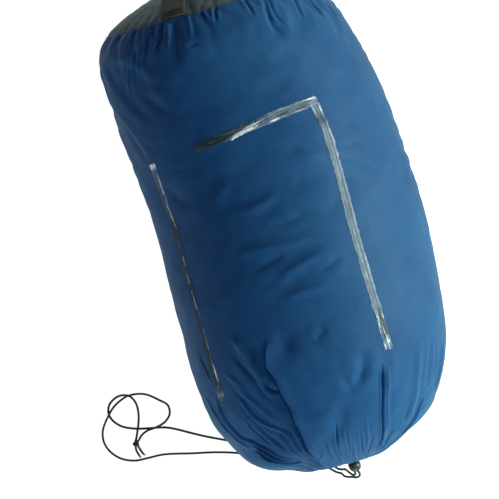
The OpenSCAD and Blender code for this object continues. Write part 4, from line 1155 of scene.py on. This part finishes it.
# ------------------------------------------------------------------ dried tape adhesive, in ragged streaks on the fabric
def residue_strip(name, node_name, centre, length, width, keep, tone, seed, ragged):
    """centre(t) gives x, y and the direction across for t from 0 to length. keep(s, w) from 0 to 1 says how much is left,
    tone(s, w, streak) how pale it is and ragged how much the streaks eat into it."""
    step_l, step_w = ((0.6, 0.36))
    nl, nw = int(length / step_l) + 1, int(width / step_w) + 1
    V = np.zeros((nl, nw, 3)); K = np.zeros((nl, nw)); FB = np.zeros((nl, nw, 3)); NN = np.zeros((nl, nw, 3))
    for i in range(nl):
        t = i * length / (nl - 1)
        c, across = centre(t)
        for j in range(nw):
            w_ = (j / (nw - 1) - 0.5) * width
            x, y = c[0] + across[0] * w_, c[1] + across[1] * w_
            p, n_ = drop_on_skin(x, y)
            V[i, j], NN[i, j] = p, n_
            FB[i, j] = (w_, t, 0)
            K[i, j] = keep(t, w_)
    s_, w_ = FB[..., 1], FB[..., 0]
    streak = noise(w_ * 1.3 + 30, s_ / 9.0 + 10, seed) * 0.5 + noise(w_ * 0.7 + 10, s_ / 26.0 + 40, seed + 1) * 0.35 + noise(w_ * 1.9 + 20, s_ / 2.6 + 60, seed + 2) * 0.3
    edge_ = np.abs(w_) / (width / 2)
    mask = K + 0.42 * ragged * streak - sstep(0.80, 1.0, edge_ + 0.18 * ragged * noise(s_ / 4.0 + 3, w_ * 0 + 7.5, seed + 3)) * 0.9
    mask[0] -= 0.25; mask[-1] -= 0.25
    h = 0.32 * sstep(0.30, 0.75, mask) + 0.10 * np.clip(streak, -1, 1) * sstep(0.4, 0.8, mask) - 0.06
    live = mask > 0.26
    top = V + NN * np.maximum(h, -0.06)[..., None]
    bot = V - NN * 0.10
    faces, used = [], {}
    verts, fabs, tones = [], [], []
    TN = np.clip(tone(s_, w_, streak), 0, 1)

    def vid(i, j, layer):
        key_ = (i, j, layer)
        if key_ not in used:
            used[key_] = len(verts)
            verts.append(top[i, j] if layer == 0 else bot[i, j])
            fabs.append(FB[i, j]); tones.append(TN[i, j])
        return used[key_]

    alive_f = live[:-1, :-1] & live[1:, :-1] & live[:-1, 1:] & live[1:, 1:]
    # drop crumbs of one or two cells
    nb = np.zeros_like(alive_f, int)
    nb[1:] += alive_f[:-1]; nb[:-1] += alive_f[1:]; nb[:, 1:] += alive_f[:, :-1]; nb[:, :-1] += alive_f[:, 1:]
    alive_f &= nb >= 2
    for i in range(nl - 1):
        for j in range(nw - 1):
            if not alive_f[i, j]:
                continue
            q_ = [(i, j), (i, j + 1), (i + 1, j + 1), (i + 1, j)]
            faces.append([vid(a, b, 0) for a, b in q_])
            faces.append([vid(a, b, 1) for a, b in q_[::-1]])
            for (a, b), (c, d), (di, dj) in (((i, j), (i, j + 1), (-1, 0)), ((i, j + 1), (i + 1, j + 1), (0, 1)), ((i + 1, j + 1), (i + 1, j), (1, 0)), ((i + 1, j), (i, j), (0, -1))):
                ni, nj = i + di, j + dj
                if 0 <= ni < nl - 1 and 0 <= nj < nw - 1 and alive_f[ni, nj]:
                    continue
                faces.append([vid(c, d, 0), vid(a, b, 0), vid(a, b, 1), vid(c, d, 1)])
    ob = new_mesh(name, verts, faces, M_RES, attrs={"fab": np.array(fabs), "tone": np.array(tones)})
    me = ob.data
    b_ = bmesh.new(); b_.from_mesh(me)
    bmesh.ops.recalc_face_normals(b_, faces=b_.faces)
    b_.to_mesh(me); b_.free()
    return node_piece(ob, node_name)


def bell(x, c, w_):
    return np.exp(-((x - c) / w_) ** 2)


def keep_right(t, w_):
    # t runs from the corner down towards the mouth
    k = 0.98 - 0.60 * bell(t, 15, 3.4) - 0.10 * bell(t, 118, 8.0)
    return k - 0.42 * float(t > 206) + 0.16 * bell(t, 236, 6.0)


def tone_right(t, w_, st_):
    f = 0.58 + 0.16 * st_ - 0.20 * bell(w_, 1.4, 0.5) - 0.14 * bell(w_, -1.6, 0.4) + 0.10 * bell(w_, 3.6, 0.7)
    f = f + 0.16 * bell(t, 7, 6.0) * (st_ > -0.05) - 0.25 * bell(t, 17, 6.0)
    late = sstep(198, 212, t)
    return f * (1 - late) + late * (0.26 + 0.52 * (st_ > 0.22) + 0.3 * bell(t, 238, 5.0))


def keep_top(t, w_):
    # t runs from the corner towards the left; the strip is widest between 12 and 60
    k = 0.72 - 0.10 * bell(t, 52, 8.0) + 0.25 * bell(t, 3, 7.0) + 0.34 * float(t > 64)
    wide = sstep(6, 18, t) * (1 - sstep(52, 66, t))
    k -= 0.85 * sstep(3.6 + 1.7 * wide, 4.5 + 1.9 * wide, abs(w_ + 0.3 * wide))
    return k - 0.12 * float(t > 112)


def tone_top_and_glint(t, w_, st_):
    f = 0.37 + 0.34 * st_ + 0.24 * bell(w_, 3.4, 1.3) * (1 - sstep(55, 70, t)) + 0.22 * bell(w_, -4.2, 0.7) * (1 - sstep(56, 62, t))
    # The pale fleck near t = 74 is whitish adhesive and also a painted glint.
    f = f + 2.2 * bell(t, 74, 10.5) * bell(w_, -2.0 - 0.13 * (t - 74), 2.1) * (0.5 + 0.9 * (st_ > -0.15)) + 0.7 * bell(t, 44, 5.0) * bell(w_, -3.4, 0.9)
    f = f + 0.34 * bell(t, 4, 6.0)
    return f - 0.16 * sstep(60, 72, t) - 0.05 * sstep(84, 104, t)


def keep_left(t, w_):
    # t runs from the top down
    k = 0.62 + 0.2 * bell(t, 3, 6.0) - 0.08 * bell(t, 36, 10.0) - 0.20 * bell(t, 98, 16.0) - 0.16 * bell(t, 165, 20.0)
    return k + 0.16 * bell(t, 232, 9.0)


def tone_left_and_shade(t, w_, st_):
    # The low base tone keeps this strip dark: partly adhesive rubbed thin, partly painted shade for the sack's shaded
    # left side.
    f = 0.12 + 0.22 * st_ + 0.45 * bell(t, 3, 4.0) + 0.34 * (1 - sstep(30, 72, t))
    f = f + 0.75 * bell(w_, 0.9 + 0.5 * np.sin(t / 9.0), 0.6) * sstep(8, 16, t) * (1 - sstep(62, 78, t)) * (0.65 + 0.6 * st_)
    f = f + 0.62 * bell(w_, 1.2 + 1.2 * np.sin(t / 23.0), 0.7) * sstep(60, 75, t) * (st_ > 0.12)
    return f + 0.30 * bell(t, 214, 10.0) * (st_ > 0.1) + 0.5 * bell(t, 234, 5.0)


residue_strip("adhesive_right", "tape_residue_right", lambda t: ((60 + 0.9 * math.sin(t / 31.0) - 3.2 * math.exp(-(t / 20.0) ** 2), 92.5 - t), (1, 0)), 244.5, 9.4, keep_right, tone_right, 61, 0.75)
residue_strip("adhesive_top", "tape_residue_top", lambda t: ((60 - t, 88.5 + 0.104 * (60 - t) + 0.6 * math.sin(t / 17.0)), (0, 1)), 124, 11.5, keep_top, tone_top_and_glint, 71, 1.6)
residue_strip("adhesive_left", "tape_residue_left", lambda t: ((-106 + 1.4 * math.sin(t / 40.0) - 3.0 * math.exp(-(t / 45.0) ** 2), 82 - t), (1, 0)), 240, 7.0, keep_left, tone_left_and_shade, 81, 1.0)

# ------------------------------------------------------------------ the bivy inside
nu3, nt3 = ((170, 260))
uf = np.interp(np.linspace(0.035, 0.968, nu3) * ARC, arc, uu)
tf3 = np.arange(nt3) * 2 * math.pi / nt3
UF, TF = np.meshgrid(uf, tf3, indexing="ij")
sF = np.interp(UF, uu, arc)
cr = cusp(TF / (2 * math.pi) * 17 + 0.8 * noise(TF / (2 * math.pi) * 17, sF / 40, 91, 17), 0.2) * (0.5 + 0.5 * noise(TF / (2 * math.pi) * 9, sF / 50, 92, 9))
dpt = -6.2 - 2.2 * (1 - cr) - 1.6 * (0.5 + 0.5 * noise(TF / (2 * math.pi) * 23, sF / 22, 93, 23))
OUT = skin_at(UF.ravel(), TF.ravel(), dpt.ravel()).reshape(nu3, nt3, 3)
OUT[..., 2] = np.maximum(OUT[..., 2], 2.5)
yy = OUT[..., 1]
RC = np.array([-3.0, 0.0, 106.0])
INN = np.stack([RC[0] + 93.5 * np.cos(TF) + 0.8 * noise(TF / (2 * math.pi) * 21, sF / 18, 94, 21), yy * 0.93 + 0.0, RC[2] + 87.5 * np.sin(TF) + 0.8 * noise(TF / (2 * math.pi) * 21, sF / 18, 95, 21)], -1)
# the folds close in towards both ends
fin = np.stack([OUT, OUT * 0.5 + INN * 0.5, INN], 0)
rad_out = np.hypot(OUT[..., 0] - RC[0], OUT[..., 2] - RC[2])
rad_in = np.hypot(INN[..., 0] - RC[0], INN[..., 2] - RC[2])
keep_in = rad_out > rad_in + 3.0
INN = np.where(keep_in[..., None], INN, RC + (OUT - RC) * np.array([1, 1, 1]) * 1.0)
tgt = OUT - (OUT - np.array([RC[0], 0, RC[2]])) * np.array([1, 0, 1]) * (3.0 / np.maximum(rad_out, 5))[..., None]
INN = np.where(keep_in[..., None], INN, tgt)
OV = np.concatenate([OUT, INN[::-1]], 0)
of_ = grid_faces(2 * nu3, nt3, True, flip=True)
last, first = (2 * nu3 - 1) * nt3, 0
j = np.arange(nt3)
of_ = np.concatenate([of_, np.stack([last + j, first + j, first + (j + 1) % nt3, last + (j + 1) % nt3], -1)])
folds = new_mesh("bivy_folds_crumpled", OV.reshape(-1, 3), of_.tolist(), M_BIVY, attrs={"fab": np.concatenate([np.stack([TF * 105, sF, 0 * sF], -1)] * 2, 0).reshape(-1, 3)})
node_piece(folds, "bivy_outer_folds")


def rolled(name, node_name, mat, phase, seed):
    """A length of folded fabric rolled up with the other one."""
    turns = 5.0
    n_t, n_y = ((420, 80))
    t = np.linspace(0, 1, n_t)
    ang = 2 * math.pi * turns * t + phase
    rad = 9 + 78 * t
    y_ = np.linspace(-186, 191, n_y)
    A_, Y_ = np.meshgrid(ang, y_, indexing="ij")
    Rr = np.broadcast_to(rad[:, None], A_.shape)
    wob = 0.55 * noise(A_ * 1.7 + 60, Y_ / 26.0 + 40, seed) + 0.3 * noise(A_ * 4.0 + 90, Y_ / 11.0 + 40, seed + 1)
    yo = Y_ + 1.6 * noise(A_ * 0.8 + 40, Y_ * 0 + 3.5, seed + 2) * np.abs(Y_ / 190)
    th_ = 2.6
    vs = []
    for side_ in (1, -1):
        r_ = Rr + wob + side_ * th_
        vs.append(np.stack([RC[0] + r_ * np.cos(A_), yo, RC[2] + r_ * np.sin(A_) * (86 / 92)], -1))
    top_, bot_ = vs
    G = np.concatenate([top_, bot_[:, ::-1]], 1)
    m = G.shape[1]
    F = grid_faces(n_t, m, True).tolist() + [list(range(m - 1, -1, -1)), [(n_t - 1) * m + k for k in range(m)]]
    s_ = np.concatenate([[0], np.cumsum(np.hypot(np.diff(rad), rad[1:] * np.diff(ang)))])
    co = np.stack([np.broadcast_to(s_[:, None], (n_t, m)), np.concatenate([Y_, Y_[:, ::-1]], 1), np.zeros((n_t, m))], -1)
    ob = new_mesh(name, G.reshape(-1, 3), F, mat, attrs={"fab": co.reshape(-1, 3)})
    bb = bmesh.new(); bb.from_mesh(ob.data); bmesh.ops.recalc_face_normals(bb, faces=bb.faces); bb.to_mesh(ob.data); bb.free()
    return node_piece(ob, node_name)


rolled("bivy_floor_rolled", "bivy_floor", M_FLOOR, 0.4, 101)
rolled("bivy_upper_rolled", "bivy_upper", M_BIVY, 0.4 + math.pi, 111)

# entrance zip: two tapes, a coil of teeth and the slider, lying on the outer folds under the skin
zy = np.linspace(-206, 186, 200)


def under_skin(x, y, depth):
    p, n_ = drop_on_skin(x, y)
    return p - n_ * depth


TW = 13.0
zz = np.array([min(under_skin(x, y, 3.2)[2] for x in (-17, -13, -10, -7, -5, -3, -1, 2, 5, 8, 11)) for y in zy]) - 1.0
zz = np.array([zz[max(0, k - 5):k + 6].min() for k in range(len(zz))])
ker = np.ones(9) / 9
zz = np.convolve(np.pad(zz, 4, mode="edge"), ker, "valid") - 1.2
pr, fabz = [], []
for sgn_ in (-1, 1):
    xs = np.array([0.9, 2.5, 6.0, 9.0, TW])
    top_ = np.stack([np.stack([-3 + sgn_ * xs, np.full(5, y), np.full(5, z) + 0.35 - 0.02 * xs ** 1.2], -1) for y, z in zip(zy, zz)], 0)
    bot_ = top_ - np.array([0, 0, 0.7])
    G = np.concatenate([top_, bot_[:, ::-1]], 1)
    m = G.shape[1]
    F = grid_faces(len(zy), m, True).tolist() + [list(range(m - 1, -1, -1)), [(len(zy) - 1) * m + k for k in range(m)]]
    pr.append((G.reshape(-1, 3), F))
    fabz.append(np.stack([G[..., 0], G[..., 1], 0 * G[..., 0]], -1).reshape(-1, 3))
zn = 280
tt = np.linspace(0, 1, zn * 8)
yc = -204 + 386 * tt
zc_ = np.interp(yc, zy, zz) + 1.0
for sgn_ in (-1, 1):
    ph = 2 * math.pi * zn * tt / 1.0 + (0 if sgn_ < 0 else math.pi)
    P = np.stack([-3 + sgn_ * 0.75 + 0.9 * np.cos(ph), yc, zc_ + 0.55 * np.sin(ph)], 1)
    V, F, co = tube(P, 0.26, 5, True)
    pr.append((V, F)); fabz.append(co)
bv, bf = joined(pr)
zipm = simple("zip_tape_m", (0.018, 0.019, 0.02), 0.55, grain=0.5, gscale=1.2, var=0.25, sheen=0.2)
zp = new_mesh("entrance_zip", bv, bf, zipm, attrs={"fab": np.vstack(fabz)})
node_piece(zp, "bivy_zipper")
# slider body with wings and a pull
sz = float(np.interp(-198, zy, zz)) + 0.6
bmz = bmesh.new()


def brick(bm_, c, half, bev):
    v = bmesh.ops.create_cube(bm_, size=1.0)["verts"]
    bmesh.ops.scale(bm_, vec=[2 * h_ for h_ in half], verts=v)
    bmesh.ops.translate(bm_, vec=c, verts=v)
    ed = list({e for q_ in v for e in q_.link_edges})
    bmesh.ops.bevel(bm_, geom=ed, offset=bev, segments=3, affect="EDGES", profile=0.6)


brick(bmz, (-3, -198, sz + 0.75), (2.6, 4.6, 0.45), 0.35)
brick(bmz, (-3, -198, sz - 1.35), (2.6, 4.6, 0.4), 0.3)
brick(bmz, (-3, -194.6, sz - 0.3), (0.7, 0.9, 1.0), 0.2)
brick(bmz, (-3, -198.5, sz + 1.55), (0.8, 2.4, 0.35), 0.25)
brick(bmz, (-3, -204.5, sz + 1.35), (1.9, 5.2, 0.28), 0.2)
me_ = bpy.data.meshes.new("zip_slider")
bmesh.ops.scale(bmz, vec=(MM, MM, MM), verts=bmz.verts)
bmz.to_mesh(me_); bmz.free()
slm = simple("zip_slider_m", (0.07, 0.072, 0.075), 0.35, metal=0.8, grain=0.3, gscale=2.0)
me_.materials.append(slm)
slo = bpy.data.objects.new("zip_slider", me_)
scene.collection.objects.link(slo)
node_piece(slo, "bivy_zip_slider")

# ------------------------------------------------------------------ finer finishes on the moulded pieces, whose CAD shape is right
for nm, mt in (("lock_barrel", M_LOCK), ("lock_plunger", M_BUTTON)):
    o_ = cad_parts[nm]
    o_.data.materials.clear()
    o_.data.materials.append(mt)

# the spring is one helix with flat ends; the real one shortens towards the closed end of the barrel as the button goes
# in, but this one is built at one length
LOCK_C = np.array([0, -257.6, 129.5])
turn = np.linspace(0, 2.4, 150)
coil_z = np.interp(turn, [0, 0.5, 1.9, 2.4], [3.36, 3.52, 7.42, 7.58])
coil = LOCK_C + np.stack([3.2 * np.cos(turn * 2 * math.pi), 3.2 * np.sin(turn * 2 * math.pi), coil_z], -1)
cv, cf = tube(coil, 0.25, sides=10)[:2]
spring_ob = new_mesh("spring_coil", cv, cf, M_SPRING)
node_piece(spring_ob, "lock_spring", "cord_lock")
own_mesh(spring_ob)

# ------------------------------------------------------------------ lights and floor
fl = new_mesh("floor", [(-6000, -6000, -0.3), (6000, -6000, -0.3), (6000, 6000, -0.3), (-6000, 6000, -0.3)], [(0, 1, 2, 3)], bpy.data.materials.new("floor_m"), smooth=False)
fm = fl.data.materials[0]
fm.use_nodes = True
fb = fm.node_tree.nodes["Principled BSDF"]
fb.inputs["Base Color"].default_value = (0.5, 0.5, 0.49, 1)
fb.inputs["Roughness"].default_value = 0.9
fb.inputs["Specular IOR Level"].default_value = 0.1
fb.inputs["Emission Color"].default_value = (1, 1, 0.99, 1)
# the sweep is white behind the object, and throws back less than that on to its flanks
lp_ = fm.node_tree.nodes.new("ShaderNodeLightPath")
fm.node_tree.links.new(math_node(fm.node_tree, "MULTIPLY_ADD", lp_.outputs["Is Camera Ray"], 0.57, 0.40), fb.inputs["Emission Strength"])

w = bpy.data.worlds.new("world")
scene.world = w
w.use_nodes = True
wn = w.node_tree
bg = wn.nodes["Background"]
tc = wn.nodes.new("ShaderNodeTexCoord")
sp_ = wn.nodes.new("ShaderNodeSeparateXYZ")
wn.links.new(tc.outputs["Generated"], sp_.inputs[0])
side_ = math_node(wn, "MULTIPLY_ADD", sp_.outputs[0], -0.08, 0.74)
wr = wn.nodes.new("ShaderNodeValToRGB")
wr.color_ramp.interpolation = "EASE"
wr.color_ramp.elements[0].position = 0.01
wr.color_ramp.elements[0].color = (1.0, 1.0, 1.0, 1)
wr.color_ramp.elements[1].position = 0.22
wr.color_ramp.elements[1].color = (0.028, 0.032, 0.055, 1)
wn.links.new(sp_.outputs[2], wr.inputs["Fac"])
wn.links.new(wr.outputs["Color"], bg.inputs["Color"])
wn.links.new(math_node(wn, "MULTIPLY", side_, 0.82), bg.inputs["Strength"])


def area(name, loc, target, size, power, color=(1, 1, 1)):
    ld = bpy.data.lights.new(name, "AREA")
    ld.shape = "RECTANGLE"
    ld.size, ld.size_y = size
    ld.energy = power
    ld.color = color
    lo = bpy.data.objects.new(name, ld)
    scene.collection.objects.link(lo)
    lo.location = loc
    d = Vector(target) - Vector(loc)
    lo.rotation_euler = d.to_track_quat("-Z", "Y").to_euler()
    return lo


area("key_right", (1.75, -0.25, 1.05), (0.0, 0, 0.12), (1.2, 1.0), 58, (0.84, 1.0, 0.72))
area("fill_left", (-1.6, -0.1, 0.35), (0, 0, 0.1), (1.0, 0.4), 0.7, (0.85, 1.0, 1.0))
area("mouth_low", (-0.05, -1.8, 0.62), (0, -0.1, 0.1), (1.2, 0.6), 17, (0.60, 1.0, 0.86))
area("rim_right", (1.5, -0.3, 0.2), (0.1, -0.05, 0.11), (1.2, 0.35), 2.6, (1.0, 1.0, 0.82))
area("low_left", (-0.9, -1.5, 0.4), (-0.05, -0.2, 0.1), (0.6, 0.4), 3.4, (0.78, 1.0, 0.92))
area("over", (0.35, 0.1, 1.95), (0, 0, 0.1), (0.7, 0.7), 4.0, (0.66, 0.76, 1.0))
